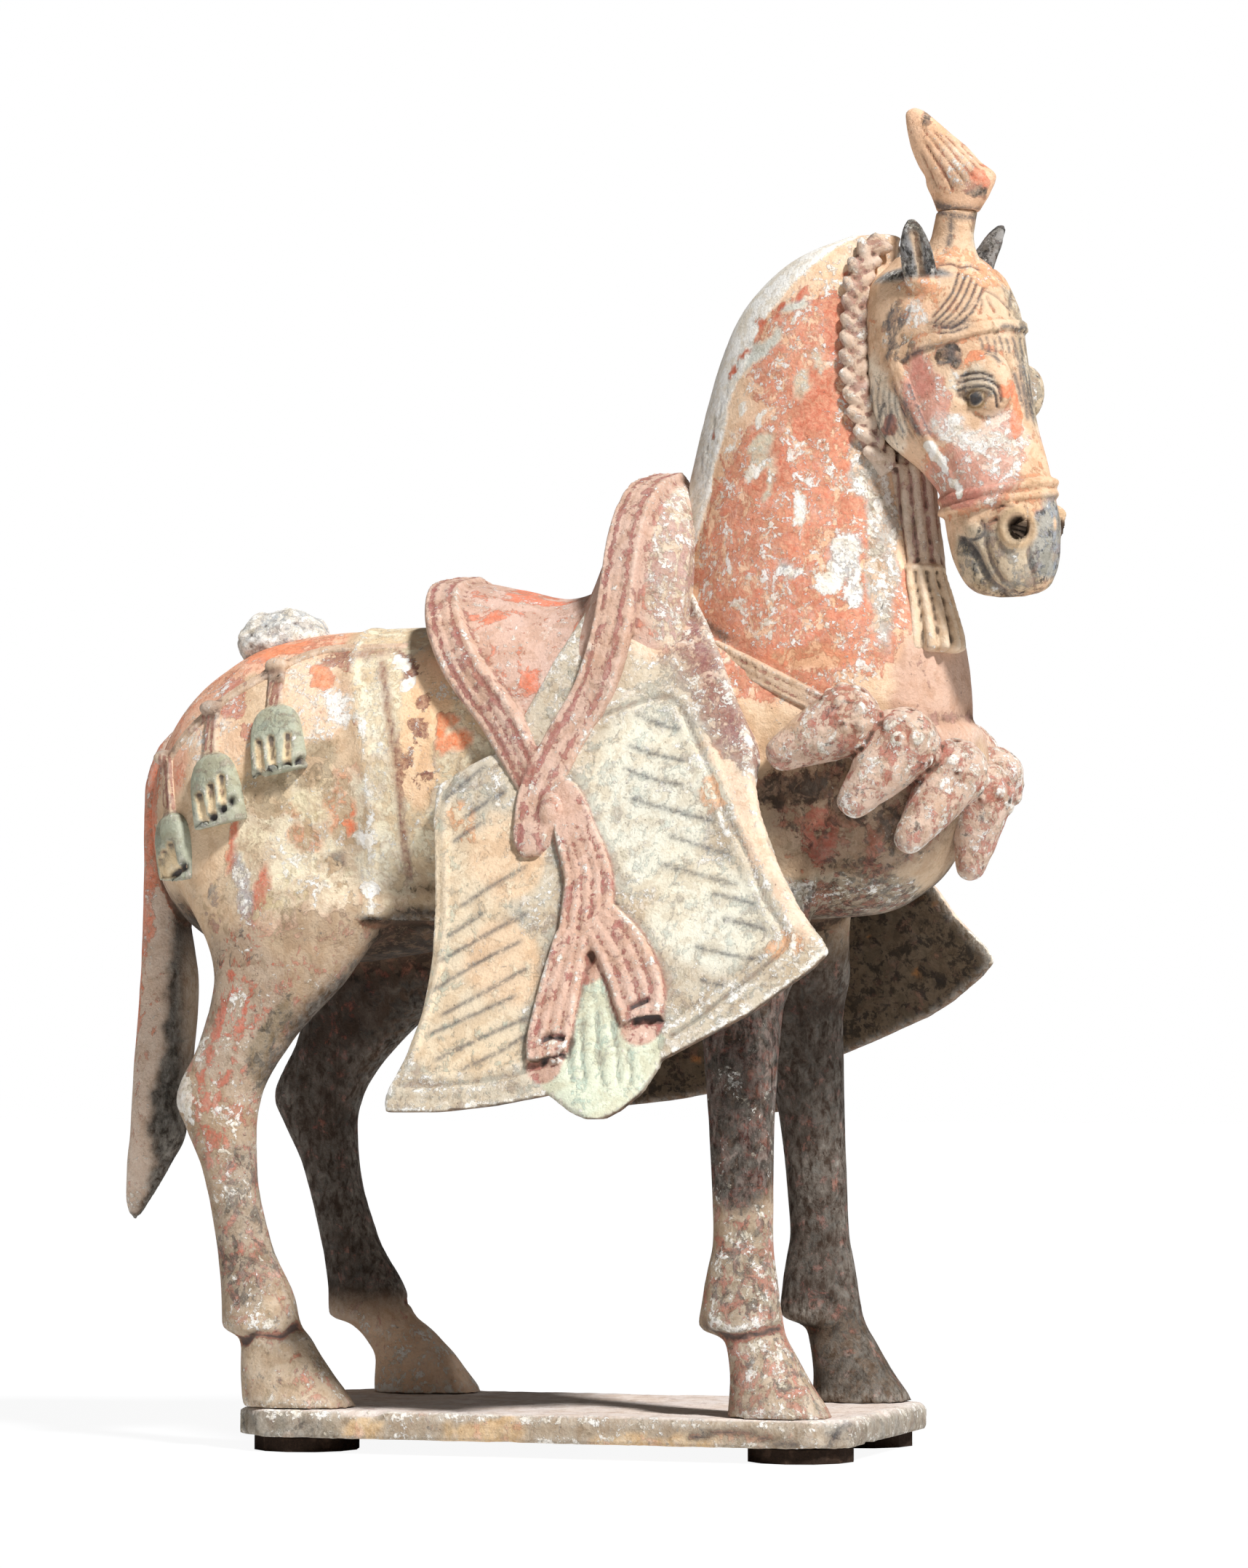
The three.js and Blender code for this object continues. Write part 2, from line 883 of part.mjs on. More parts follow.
// Meshes
function toMesh(name, solid, look) {
  const { vertProperties, triVerts } = solid.getMesh();
  const geometry = new THREE.BufferGeometry();
  geometry.setAttribute("position", new THREE.BufferAttribute(new Float32Array(vertProperties), 3));
  geometry.setIndex(new THREE.BufferAttribute(new Uint32Array(triVerts), 1));
  geometry.computeVertexNormals();
  const mesh = new THREE.Mesh(geometry, new THREE.MeshStandardMaterial(look));
  mesh.name = name;
  return mesh;
}

const paintedClay = { color: 0xcfae8c, roughness: 0.95, metalness: 0 };
const orangeClay = { color: 0xdc9a72, roughness: 0.95, metalness: 0 };
const bareClay = { color: 0xb59c7c, roughness: 0.97, metalness: 0 };
const darkFelt = { color: 0x241a15, roughness: 1, metalness: 0 };

const model = new THREE.Group();
const plinthUnderside = padThickness + seatGap;
const soles = plinthUnderside + plinthThickness + seatGap;

const slab = toMesh("plinth", plinth(), bareClay);
slab.position.set(plinthMiddle, 0, plinthUnderside);
const figure = toMesh("horse", horse(), paintedClay);
figure.position.z = soles;
const feather = toMesh("plume", plume(), orangeClay);
feather.position.copy(figure.position);
model.add(slab, figure, feather);

// Felt pads under the plinth's corners
const padReach = padInset + padDiameter / 2;
for (const [end, along] of [["hind", -1], ["front", 1]]) {
  for (const [flank, across] of [["near", near], ["far", far]]) {
    const disc = new THREE.CylinderGeometry(padDiameter / 2, padDiameter / 2, padThickness, 12);
    const pad = new THREE.Mesh(disc, new THREE.MeshStandardMaterial(darkFelt));
    pad.name = `felt_pad_${flank}_${end}`;
    pad.rotation.x = Math.PI / 2;
    pad.position.set(
      plinthMiddle + along * (plinthLength / 2 - padReach),
      across * (plinthWidth / 2 - padReach),
      padThickness / 2,
    );
    model.add(pad);
  }
}

// The origin is under the middle of the whole object
const middle = new THREE.Box3().setFromObject(model).getCenter(new THREE.Vector3());
for (const piece of model.children) {
  piece.position.x -= middle.x;
  piece.position.y -= middle.y;
}

export default model;
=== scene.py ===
"""The looks of a painted pottery tomb horse. Shapes are drawn in millimetres in the figure's own frame."""
import json
import math

import bpy
import numpy as np
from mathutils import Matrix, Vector

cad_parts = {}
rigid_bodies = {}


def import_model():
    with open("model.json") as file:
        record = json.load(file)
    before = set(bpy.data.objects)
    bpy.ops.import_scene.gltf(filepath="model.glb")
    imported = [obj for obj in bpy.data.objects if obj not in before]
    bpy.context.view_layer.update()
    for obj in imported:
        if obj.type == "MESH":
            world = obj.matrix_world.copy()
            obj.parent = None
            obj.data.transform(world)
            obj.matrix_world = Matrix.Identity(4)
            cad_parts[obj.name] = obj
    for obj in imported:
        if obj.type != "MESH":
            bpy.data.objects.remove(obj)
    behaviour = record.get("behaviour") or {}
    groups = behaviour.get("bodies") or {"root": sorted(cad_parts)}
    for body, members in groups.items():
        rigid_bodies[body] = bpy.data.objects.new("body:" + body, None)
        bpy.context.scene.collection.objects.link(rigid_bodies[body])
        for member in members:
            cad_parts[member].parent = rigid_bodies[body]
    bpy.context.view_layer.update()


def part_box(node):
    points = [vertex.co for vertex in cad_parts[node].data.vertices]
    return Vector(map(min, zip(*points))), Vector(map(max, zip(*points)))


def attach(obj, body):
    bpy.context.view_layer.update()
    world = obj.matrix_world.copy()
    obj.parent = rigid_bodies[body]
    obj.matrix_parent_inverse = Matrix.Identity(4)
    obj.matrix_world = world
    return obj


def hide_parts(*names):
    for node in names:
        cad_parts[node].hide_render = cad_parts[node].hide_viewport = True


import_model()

MM = 0.001
NEAR, FAR = -1, 1
SIDES = (NEAR, FAR)
SEAT_GAP = 0.3

# Fineness of each piece's mesh, in millimetres
FINENESS = {
    "horse_body": 1.75, "horse_head": 0.7, "saddle": 1.0, "flap_near": 1.05, "flap_far": 1.3, "harness": 0.85,
    "plume_clay": 0.7, "plinth_clay": 1.9,
}

# The figure's frame: its x runs from the middle of its stance, its z from the soles of its hooves
PLINTH_MIDDLE = -0.5
plinth_low, plinth_high = (np.array(corner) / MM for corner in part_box("plinth"))
figure_origin = np.array([(plinth_low[0] + plinth_high[0]) / 2 - PLINTH_MIDDLE, 0, plinth_high[2] + SEAT_GAP])


# Numbers along tables

def spread(low, high, count):
    return np.linspace(low, high, count)


def smooth_rows(rows, keys):
    """All columns of a table at the given values of its first one, on a curve that never overshoots."""
    table = np.asarray(rows, float)
    if table[0, 0] > table[-1, 0]:
        table = table[::-1]
    x, y = table[:, 0], table[:, 1:]
    step = np.diff(x)
    slope = np.diff(y, axis=0) / step[:, None]
    tangent = np.vstack([slope[:1], np.zeros_like(slope[1:]), slope[-1:]])
    before, after = 2 * step[1:] + step[:-1], step[1:] + 2 * step[:-1]
    same = slope[:-1] * slope[1:] > 0
    safe = np.where(same, slope[:-1], 1), np.where(same, slope[1:], 1)
    mean = (before + after)[:, None] / (before[:, None] / safe[0] + after[:, None] / safe[1])
    tangent[1:-1] = np.where(same, mean, 0)
    keys = np.clip(np.asarray(keys, float), x[0], x[-1])
    i = np.clip(np.searchsorted(x, keys) - 1, 0, len(x) - 2)
    t = ((keys - x[i]) / step[i])[..., None]
    h = step[i][..., None]
    return (
        (1 + 2 * t) * (1 - t) ** 2 * y[i]
        + t * (1 - t) ** 2 * h * tangent[i]
        + t**2 * (3 - 2 * t) * y[i + 1]
        + t**2 * (t - 1) * h * tangent[i + 1]
    )


def linear_rows(rows, keys):
    table = np.asarray(rows, float)
    return np.column_stack([np.interp(keys, table[:, 0], column) for column in table.T[1:]])


def columns(rows, count, read=smooth_rows):
    """Even steps along a table's first column and the others there, each upright, as shells need them."""
    key = spread(rows[0][0], rows[-1][0], count)
    return [key[:, None], *read(rows, key).T[..., None]]


def along(rows, count):
    """A table read off evenly along its own length, for rows that follow a path."""
    table = np.asarray(rows, float)
    run = np.concatenate([[0], np.cumsum(np.linalg.norm(np.diff(table[:, :3], axis=0), axis=1))])
    return smooth_rows(np.column_stack([run, table]), spread(0, run[-1], count))


def step_up(value, low, high):
    t = np.clip((value - low) / (high - low), 0, 1)
    return t * t * (3 - 2 * t)


def step_down(value, low, high):
    return 1 - step_up(value, low, high)


def between(value, *edges):
    return step_up(value, *edges[:2]) * step_down(value, *edges[2:])


def bump(value, middle, reach):
    """1 at the middle, falling smoothly to 0."""
    return np.exp(-(((value - middle) / reach) ** 2))


chance = np.random.default_rng(17).random(1 << 16)
HASH_STEPS = np.array([73856093, 19349663, 83492791])


def lattice_noise(points, size, seed):
    """Smooth noise from -1 to 1 with features of about the given size."""
    p = points / size + seed * 13.7
    cell = np.floor(p).astype(np.int64)
    f = p - cell
    f = f * f * (3 - 2 * f)
    total = 0
    for corner in np.ndindex(2, 2, 2):
        place = np.bitwise_xor.reduce((cell + corner) * HASH_STEPS, axis=1) & 0xFFFF
        weight = np.where(corner, f, 1 - f)
        total = total + chance[place] * (weight[:, 0] * weight[:, 1] * weight[:, 2])
    return 2 * total - 1


def rough(points, size, octaves, seed):
    """Several noises of halving size added up, from about -1 to 1."""
    return sum(lattice_noise(points, size / 2**i, seed + i) / 2**i for i in range(octaves)) / 1.5


# Skins: rings of points become closed shells

def oval(angle, power):
    c, s = np.cos(angle), np.sin(angle)
    return np.sign(c) * np.abs(c) ** (2 / power), np.sign(s) * np.abs(s) ** (2 / power)


def oval_half(share, power):
    return np.maximum(0, 1 - np.minimum(1, np.abs(share)) ** power) ** (1 / power)


def round_angles(sides):
    return (np.arange(sides) + 0.5) / sides * 2 * math.pi


def grid(x, y, z):
    """Rings of points from their coordinates, each a number, a row or an upright column."""
    return np.stack(np.broadcast_arrays(x, y, z), -1)


def unit(vectors, least=0.0):
    return vectors / np.maximum(np.linalg.norm(vectors, axis=-1, keepdims=True), least)


def shell(rings):
    """Points and faces of a closed skin over rings that all have the same number of points."""
    rows, count = rings.shape[:2]
    points = np.vstack([rings.reshape(-1, 3), rings[0].mean(0), rings[-1].mean(0)])
    row, i = np.meshgrid(np.arange(rows - 1), np.arange(count), indexing="ij")
    a, b = (row * count + i).ravel(), (row * count + (i + 1) % count).ravel()
    faces = np.column_stack([a, b, b + count, a + count]).tolist()
    last, low = (rows - 1) * count, rows * count
    for k in range(count):
        after = (k + 1) % count
        faces += [[low, after, k], [low + 1, last + k, last + after]]
    return points, faces


def level_shell(rows, sides, count, power=2.2, rear_power=None, side=0, steps=None):
    """A skin through level ovals, from rows of height, rear, front, half width and way out."""
    z, rear, front, half, out = (columns(rows, count) + [0])[:5]
    if steps:
        rear_step, front_step = smooth_rows(steps, z[:, 0]).T[..., None]
        rear, front = rear + rear_step, front + front_step
    angle = round_angles(sides)
    ends = zip(oval(angle, power), oval(angle, rear_power or power))
    c, s = (np.where(np.cos(angle) >= 0, ahead, behind) for ahead, behind in ends)
    return shell(grid((front + rear) / 2 + (front - rear) / 2 * c, side * out + half * s, z))


def strap(point, normal, width, thickness, section, sink=2.5):
    """A strap along points, with a section drawn at unit size."""
    run = unit(np.gradient(point, axis=0))
    across = unit(np.cross(run, normal))
    out = np.cross(across, run)
    width, thickness = (np.full(len(point), size)[:, None] for size in (width, thickness))
    ring = [(-1, None), *section, (1, None)]
    heights = [np.full_like(thickness, -sink) if height is None else height * thickness for _, height in ring]
    rings = [point + across * share * width / 2 + out * height for (share, _), height in zip(ring, heights)]
    return shell(np.stack(rings, 1))


def fluted(flutes, depth, fine=6, edge=0.25):
    """Section of a strap with rounded ridges side by side."""
    share = spread(-1, 1, 2 * flutes * fine + 1)
    ridge = np.abs(np.cos((share * flutes / 2 + (0 if flutes % 2 else 0.5)) * math.pi))
    shoulder = edge + (1 - edge) * step_up(1 - np.abs(share), 0, 0.6 / flutes)
    return list(zip(share, (1 - depth + depth * ridge**0.7) * shoulder))


def rounded(fine, power=3.0):
    share = spread(-1, 1, fine)
    return list(zip(share, 0.15 + 0.85 * oval_half(share, power)))


def on_side(width, x, z, side):
    """Points and outward normals on a body's side, where width(x, z) is its half width."""
    x, z = np.asarray(x, float), np.asarray(z, float)
    slope_x = (width(x + 1, z) - width(x - 1, z)) / 2
    slope_z = (width(x, z + 1) - width(x, z - 1)) / 2
    normal = unit(grid(-slope_x, 1.0, -slope_z))
    flip = np.array([1, side, 1])
    return grid(x, width(x, z), z) * flip, normal * flip


def side_strap(width, rows, side, section, count=60, sink=2.5):
    """A strap over a body's side, from rows of place, height, width and thickness."""
    x, z, wide, thick = along(rows, count).T
    return strap(*on_side(width, x, z, side), wide, thick, section, sink)


def blob(point, size, sides=28, rings=18, turn=np.eye(3)):
    """An ellipsoid as a closed skin."""
    lift, angle = (np.arange(rings)[:, None] + 0.5) / rings * math.pi, round_angles(sides)
    points = grid(np.sin(lift) * np.cos(angle), np.sin(lift) * np.sin(angle), -np.cos(lift)) * size
    return shell(points @ turn.T + point)


def frame_along(axis, hint=(0, 0, 1)):
    """A turn whose third direction follows the axis."""
    third = unit(axis)
    first = unit(np.cross(hint, third))
    return np.column_stack([first, np.cross(third, first), third])


# Body tables: the same forms as the solids

TRUNK_POWER = 2.2
TRUNK = [
    [-164, 224, 200, 12], [-160, 238, 186, 25], [-151, 254, 173, 36], [-138, 266, 164, 45],
    [-118, 276, 158, 50.5], [-90, 280, 159, 52], [-35, 281, 166, 50], [45, 286, 170, 48], [80, 284, 173, 46],
    [108, 273, 175, 43], [128, 256, 185, 36], [140, 246, 204, 26], [146.5, 240, 224, 13],
]
NECK_POWER, CREST_POWER = 2.3, 1.75
NECK = [
    [215, 22, 139, 42], [245, 26, 142.5, 41], [270, 31, 140, 38], [295, 34, 130, 34.5],
    [345, 43.5, 119.5, 28], [370, 50.5, 118, 25.5], [388, 58, 117, 23], [402, 69.5, 116, 19.5],
    [411, 83, 116, 15], [417.5, 102, 118, 7],
]
HIND_LEG = [
    [0, -113.5, -72, 15, 46], [12, -114.5, -81.5, 13.5, 46], [20, -114.5, -87, 11.4, 46],
    [24.5, -115, -90, 11.4, 46], [27.5, -121.5, -93, 12, 46], [38, -122, -95.5, 11, 46],
    [57, -124.5, -104.5, 9, 45.5], [84, -130.5, -110.5, 9, 45], [99, -137, -111, 10, 44.5],
    [109, -141, -109.5, 11, 44], [130, -132.5, -98, 11, 43], [152, -128, -78.5, 14, 40],
    [166, -133, -68.5, 17, 37], [180, -141, -63, 20, 34], [210, -150, -65, 22, 29],
]
FRONT_LEG = [
    [0, 67.5, 104, 15, 46], [12, 68.5, 96, 13.5, 46], [23, 67.5, 90, 11.4, 46], [26.5, 66.5, 88, 11, 46],
    [30.5, 57, 87, 12.4, 46], [45, 59, 85, 11, 46], [62, 62, 83, 9.5, 45.5], [90, 61, 83, 10, 45],
    [139, 56.5, 85, 12.5, 41], [157, 55, 90, 13, 35.5], [176, 53, 93, 13.5, 27], [198, 56, 96, 12, 19],
    [212, 62, 92, 8, 14],
]
HIND_STEPS = [
    [0, 15, 15], [12, 17, 15], [20, 12, 13], [28, 5, 9.5], [57, 4.5, 6.5], [99, 3, 5], [118, 3, 7],
    [152, 6, 16], [210, 12, 18],
]
FRONT_STEPS = [[0, 4.5, 4.5], [24, 3, 3.5], [139, -2, -1]]
TAIL = [
    [64, -177.5, -175.5, 1], [71, -180, -171, 4], [84, -179.5, -163, 6.5], [96, -178, -157, 8.5],
    [118, -176.5, -155, 10], [150, -174, -152.5, 11], [180, -172.5, -156, 10.5], [222, -172.5, -155, 9],
    [238, -168, -150, 8], [246, -161, -150, 5],
]


def trunk_shell():
    x, top, bottom, half = columns(TRUNK, 120)
    c, s = oval(round_angles(72), TRUNK_POWER)
    return shell(grid(x, half * c, (top + bottom) / 2 + (top - bottom) / 2 * s))


def trunk_width(x, z):
    top, bottom, half = np.moveaxis(smooth_rows(TRUNK, x), -1, 0)
    return half * oval_half((2 * z - top - bottom) / (top - bottom), TRUNK_POWER)


def neck_width(x, z):
    rear, front, half = np.moveaxis(smooth_rows(NECK, z), -1, 0)
    share = (2 * x - rear - front) / (front - rear)
    return half * np.where(share < 0, oval_half(share, CREST_POWER), oval_half(share, NECK_POWER))


# Surfaces: shells melted into one skin, then carved

def read_all(items, name, kind, size=1):
    values = np.empty(len(items) * size, kind)
    items.foreach_get(name, values)
    return values


def show(name, data):
    made = bpy.data.objects.new(name, data)
    bpy.context.scene.collection.objects.link(made)
    return made


class Surface:
    """A dense skin with the tools that carve it and mark its colours."""

    def __init__(self, name, shells):
        self.name = name
        faces, offset = [], 0
        for points, shell_faces in shells:
            faces += [[i + offset for i in face] for face in shell_faces]
            offset += len(points)
        mesh = bpy.data.meshes.new(name + "_shells")
        mesh.from_pydata(np.vstack([points for points, _ in shells]).tolist(), [], faces)
        mesh.update()
        raw = show(name + "_shells", mesh)
        remesh = raw.modifiers.new("melt", "REMESH")
        remesh.mode = "VOXEL"
        remesh.voxel_size = FINENESS[name]
        melted = raw.evaluated_get(bpy.context.evaluated_depsgraph_get()).to_mesh()
        self.co = read_all(melted.vertices, "co", float, 3).reshape(-1, 3)
        loops = read_all(melted.loops, "vertex_index", np.int64)
        starts = read_all(melted.polygons, "loop_start", np.int64)
        self.quads = loops[starts[:, None] + np.arange(4)]
        sides = np.vstack([self.quads[:, [i, (i + 1) % 4]] for i in range(4)])
        self.edges = np.unique(np.sort(sides, axis=1), axis=0)
        self.degree = np.bincount(self.edges.ravel(), minlength=len(self.co))
        raw.to_mesh_clear()
        bpy.data.objects.remove(raw)
        bpy.data.meshes.remove(mesh)

    def to_mean(self, values):
        """The way from each value to the mean of its neighbours."""
        values = values.reshape(len(self.co), -1)
        a, b = self.edges.T
        count = len(values)
        total = [np.bincount(a, row[b], count) + np.bincount(b, row[a], count) for row in values.T]
        return np.column_stack(total) / self.degree[:, None] - values

    def smooth(self, rounds):
        """Evens out the skin without letting it shrink."""
        for _ in range(rounds):
            self.co = self.co + 0.5 * self.to_mean(self.co)
            self.co = self.co - 0.52 * self.to_mean(self.co)

    def relax(self, rounds, weight):
        """Plain smoothing where a weight allows it, which melts joints together."""
        for _ in range(rounds):
            self.co = self.co + 0.5 * weight[:, None] * self.to_mean(self.co)

    def normals(self):
        p = self.co[self.quads]
        face = np.cross(p[:, 2] - p[:, 0], p[:, 3] - p[:, 1])
        corners, count = self.quads.ravel(), len(self.co)
        total = [np.bincount(corners, np.repeat(row, 4), count) for row in face.T]
        return unit(np.column_stack(total), 1e-12)

    def push(self, amount):
        """Moves the skin along its normals, in millimetres."""
        self.co = self.co + self.normals() * amount[:, None]

    def hollow(self, rounds):
        """How far each point lies below its surroundings, in millimetres: creases are positive."""
        mean = self.co
        for _ in range(rounds):
            mean = mean + 0.5 * self.to_mean(mean)
        return np.einsum("ij,ij->i", mean - self.co, self.normals())

    def object(self, material, node):
        count = len(self.co)
        co = (self.co + figure_origin) * MM
        mesh = bpy.data.meshes.new(self.name)
        mesh.vertices.add(count)
        mesh.vertices.foreach_set("co", co.astype(np.float32).ravel())
        mesh.loops.add(self.quads.size)
        mesh.loops.foreach_set("vertex_index", self.quads.astype(np.int32).ravel())
        mesh.polygons.add(len(self.quads))
        mesh.polygons.foreach_set("loop_start", np.arange(0, self.quads.size, 4, dtype=np.int32))
        mesh.update(calc_edges=True)
        mesh.validate()
        mesh.polygons.foreach_set("use_smooth", np.ones(len(self.quads), bool))
        for name, values in self.marks.items():
            values = np.asarray(values, np.float32)
            if values.ndim == 2:
                mark = mesh.attributes.new(name, "FLOAT_COLOR", "POINT")
                mark.data.foreach_set("color", np.column_stack([values, np.ones(count, np.float32)]).ravel())
            else:
                mesh.attributes.new(name, "FLOAT", "POINT").data.foreach_set("value", values)
        mesh.materials.append(material)
        made = show(self.name, mesh)
        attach(made, "root")
        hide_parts(node)


# The photograph's view of the figure, for forms and marks that are placed by their pixel

FRAME_WIDTH, FRAME_HEIGHT = 1716, 2156
FOCAL_PIXELS = 7330.8
VIEW_TURN, VIEW_PITCH = math.radians(18), 0.04934
PIXEL = 0.25  # millimetres of the figure that one pixel covers
camera_place = np.array([609.0 + figure_origin[0] + PLINTH_MIDDLE, -1829.6, 143.5])
view_right = np.array([math.cos(VIEW_TURN), math.sin(VIEW_TURN), 0])
level_ahead = np.array([-math.sin(VIEW_TURN), math.cos(VIEW_TURN), 0])
view_ahead = level_ahead * math.cos(VIEW_PITCH) + [0, 0, math.sin(VIEW_PITCH)]
view_up = np.cross(view_right, view_ahead)


def in_photo(points):
    """Pixels of points in the figure's frame."""
    away = points + figure_origin - camera_place
    right, up, depth = (away @ way for way in (view_right, view_up, view_ahead))
    x, y = FRAME_WIDTH / 2 + FOCAL_PIXELS * right / depth, FRAME_HEIGHT / 2 - FOCAL_PIXELS * up / depth
    return np.column_stack([x, y])


def path_distance(points, path, reach):
    """Distance from points to a path and the share of its length there, right within reach."""
    path = np.asarray(path, float)
    best, share = np.full(len(points), np.inf), np.zeros(len(points))
    near = np.flatnonzero(np.all((points > path.min(0) - reach) & (points < path.max(0) + reach), axis=1))
    p = points[near]
    closest, where = np.full(len(near), np.inf), np.zeros(len(near))
    for i in range(len(path) - 1):
        a, d = path[i], path[i + 1] - path[i]
        t = np.clip((p - a) @ d / max(d @ d, 1e-9), 0, 1)
        gap = np.linalg.norm(p - a - t[:, None] * d, axis=1)
        better = gap < closest
        closest[better], where[better] = gap[better], ((i + t) / (len(path) - 1))[better]
    best[near], share[near] = closest, where
    return best, share


# Head tables, in the head's own frame

HEAD_TURN, HEAD_PIVOT, FACE_LEAN, HEAD_POWER = math.radians(18), 100, 0.075, 2.5
HEAD = [
    [285.2, 66.6, 4, 5, 0.1], [286.6, 66.5, 10.5, 10.6, 0.1], [291, 65.8, 15.7, 13.5, 0.12],
    [302, 64.4, 19.7, 15.2, 0.2], [312, 63.3, 20.8, 15.7, 0.28], [321, 61.5, 20.5, 16.3, 0.34],
    [330, 57, 23, 17.4, 0.38], [344, 46.5, 29, 19.8, 0.34], [354, 43.2, 30, 21, 0.3],
    [384, 38.8, 28, 22.3, 0.12], [397, 36.5, 24.4, 20.5, 0.08], [408, 35, 14, 10, 0],
]
NOSTRIL, NOSTRIL_SIZE = (74, 310), (6.8, 2.0, 7.6)
POLL_PLACE, POLL_SIZE = (43, 0, 399), (15, 11, 8)
BROW_X = 63
BROWS = [[NEAR, 359.5, 3.6, (10, 7.2, 12.5)], [FAR, 357, 2.4, (9, 6.6, 10.5)]]
EARS = [
    [393, 17.6, 4.6, 4, 0], [401, 20, 6.4, 4.8, 0], [407, 21.8, 6.2, 4.6, 1], [412, 23.4, 5.2, 3.8, 3],
    [416, 24.6, 3.6, 2.6, 4], [419, 25.6, 1.2, 1, 5],
]
EAR_X, EAR_OPENING = 41.5, math.radians(48)
STUB_TOP, STUB_RADIUS = 422.5, 7.4
STUB = [[396, 41, 2.1], [403, 41, 1.7], [409, 41.6, 1.25], [415, 42.7, 1.03], [STUB_TOP, 44.3, 1]]
CHEEK_STRAP = [
    [30.5, 373, 5, 1.4], [34, 366, 5, 1.4], [39.5, 352, 5, 1.4], [44.2, 340.5, 5, 1.3], [49.5, 331, 5, 0.6],
    [53, 323, 4.5, 0.2],
]
FOREHEAD_STRAP_TOP, FOREHEAD_STRAP_DROP, FOREHEAD_STRAP_REACH = 380.5, 3, 1.25
FOREHEAD_STRAP_WIDTH, FOREHEAD_STRAP_THICKNESS = 4.2, 1.5
NOSEBAND_HEIGHT, NOSEBAND_HALF, NOSEBAND_RISE = 320.0, 4.0, 2.5
BROWBAND = [[30, 370.5, 4.2, 1.5], [42, 374.8, 4.2, 1.5], [51.8, 377.2, 4.2, 1.5], [59.8, 378.6, 4.2, 1.5]]


def leaned(points, lean=FACE_LEAN):
    """Leans the face. The opposite lean is for forms of the head that stay upright."""
    points = np.array(points)
    points[..., 2] += lean * points[..., 1]
    return points


def from_head(points):
    c, s = math.cos(HEAD_TURN), math.sin(HEAD_TURN)
    x, y, z = np.moveaxis(points, -1, 0)
    return np.stack([x * c + y * s + HEAD_PIVOT, y * c - x * s, z], -1)


def nose_taper(share, taper):
    return 1 - taper * np.maximum(0, share) ** 1.5


def head_width(x, z):
    middle, depth, half, taper = np.moveaxis(smooth_rows(HEAD, z), -1, 0)
    share = (x - middle) / depth
    return half * oval_half(share, HEAD_POWER) * nose_taper(share, taper)


def head_rings(z, out=0.0, rise=0.0):
    middle, depth, half, taper = smooth_rows(HEAD, z).T[..., None]
    c, s = oval(round_angles(96), HEAD_POWER)
    return grid(middle + (depth + out) * c, (half * nose_taper(c, taper) + out) * s, z[:, None] + rise * c)


def ear_shell(side):
    """A leaf with a deep cup that opens forwards and outwards."""
    z, out, depth, half, lean = columns(EARS, 60)
    angle = round_angles(48)
    turn = np.angle(np.exp(1j * (angle - EAR_OPENING)))
    cup = 1 - 0.95 * np.exp(-((turn / 0.72) ** 2)) * between(z, 396.5, 400, 413, 417.5)
    x = EAR_X + lean * (side == FAR)
    return shell(grid(x + depth * np.cos(angle) * cup, side * (out + half * np.sin(angle) * cup), z))


def forehead_strap():
    """A strap across the forehead, from one side of the face to the other."""
    angle = spread(-FOREHEAD_STRAP_REACH, FOREHEAD_STRAP_REACH, 70)
    c, s = oval(angle, HEAD_POWER)
    height = FOREHEAD_STRAP_TOP - FOREHEAD_STRAP_DROP * (angle / FOREHEAD_STRAP_REACH) ** 2

    def place(z):
        middle, depth, half, taper = smooth_rows(HEAD, z).T
        return np.column_stack([middle + depth * c, half * s * nose_taper(c, taper), z])

    point = place(height)
    normal = np.cross(np.gradient(point, axis=0), place(height + 1) - place(height - 1))
    inside = [40, 0, 378]
    normal *= np.sign(np.sum(normal * (point - inside), axis=1, keepdims=True))
    sizes = FOREHEAD_STRAP_WIDTH, FOREHEAD_STRAP_THICKNESS
    return strap(point, unit(normal), *sizes, fluted(2, 0.35), 1.5)


def stub_shell():
    z, middle, size = columns(STUB, 40)
    half, angle = STUB_RADIUS * size, round_angles(48)
    return shell(leaned(grid(middle + half * np.cos(angle), 0.9 * half * np.sin(angle), z), -FACE_LEAN))


def noseband_shell():
    count = 21
    up = spread(-NOSEBAND_HALF, NOSEBAND_HALF, count)[:, None]
    out = -1 + 2.4 * step_up(NOSEBAND_HALF - np.abs(up), 0, 1.2) - 1.0 * bump(up, 0, 0.9)
    rings = head_rings(np.full(count, NOSEBAND_HEIGHT), out, NOSEBAND_RISE)
    return shell(rings + up[..., None] * [0, 0, 1])


def head_shells():
    shells = [shell(head_rings(spread(HEAD[0][0], HEAD[-1][0], 130))), stub_shell(), noseband_shell()]
    shells += [forehead_strap(), blob(POLL_PLACE, POLL_SIZE)]
    for side, brow_z, brow_sink, brow_size in BROWS:
        brow_point, _ = on_side(head_width, BROW_X, brow_z, side)
        nostril_point, _ = on_side(head_width, *NOSTRIL, side)
        shells += [
            blob(brow_point - [0, side * brow_sink, 0], brow_size),
            blob(nostril_point, NOSTRIL_SIZE),
            ear_shell(side),
            side_strap(head_width, CHEEK_STRAP, side, fluted(2, 0.3), sink=1.5),
            side_strap(head_width, BROWBAND, side, fluted(2, 0.35), sink=1.5),
        ]
    return shells


# Harness tables

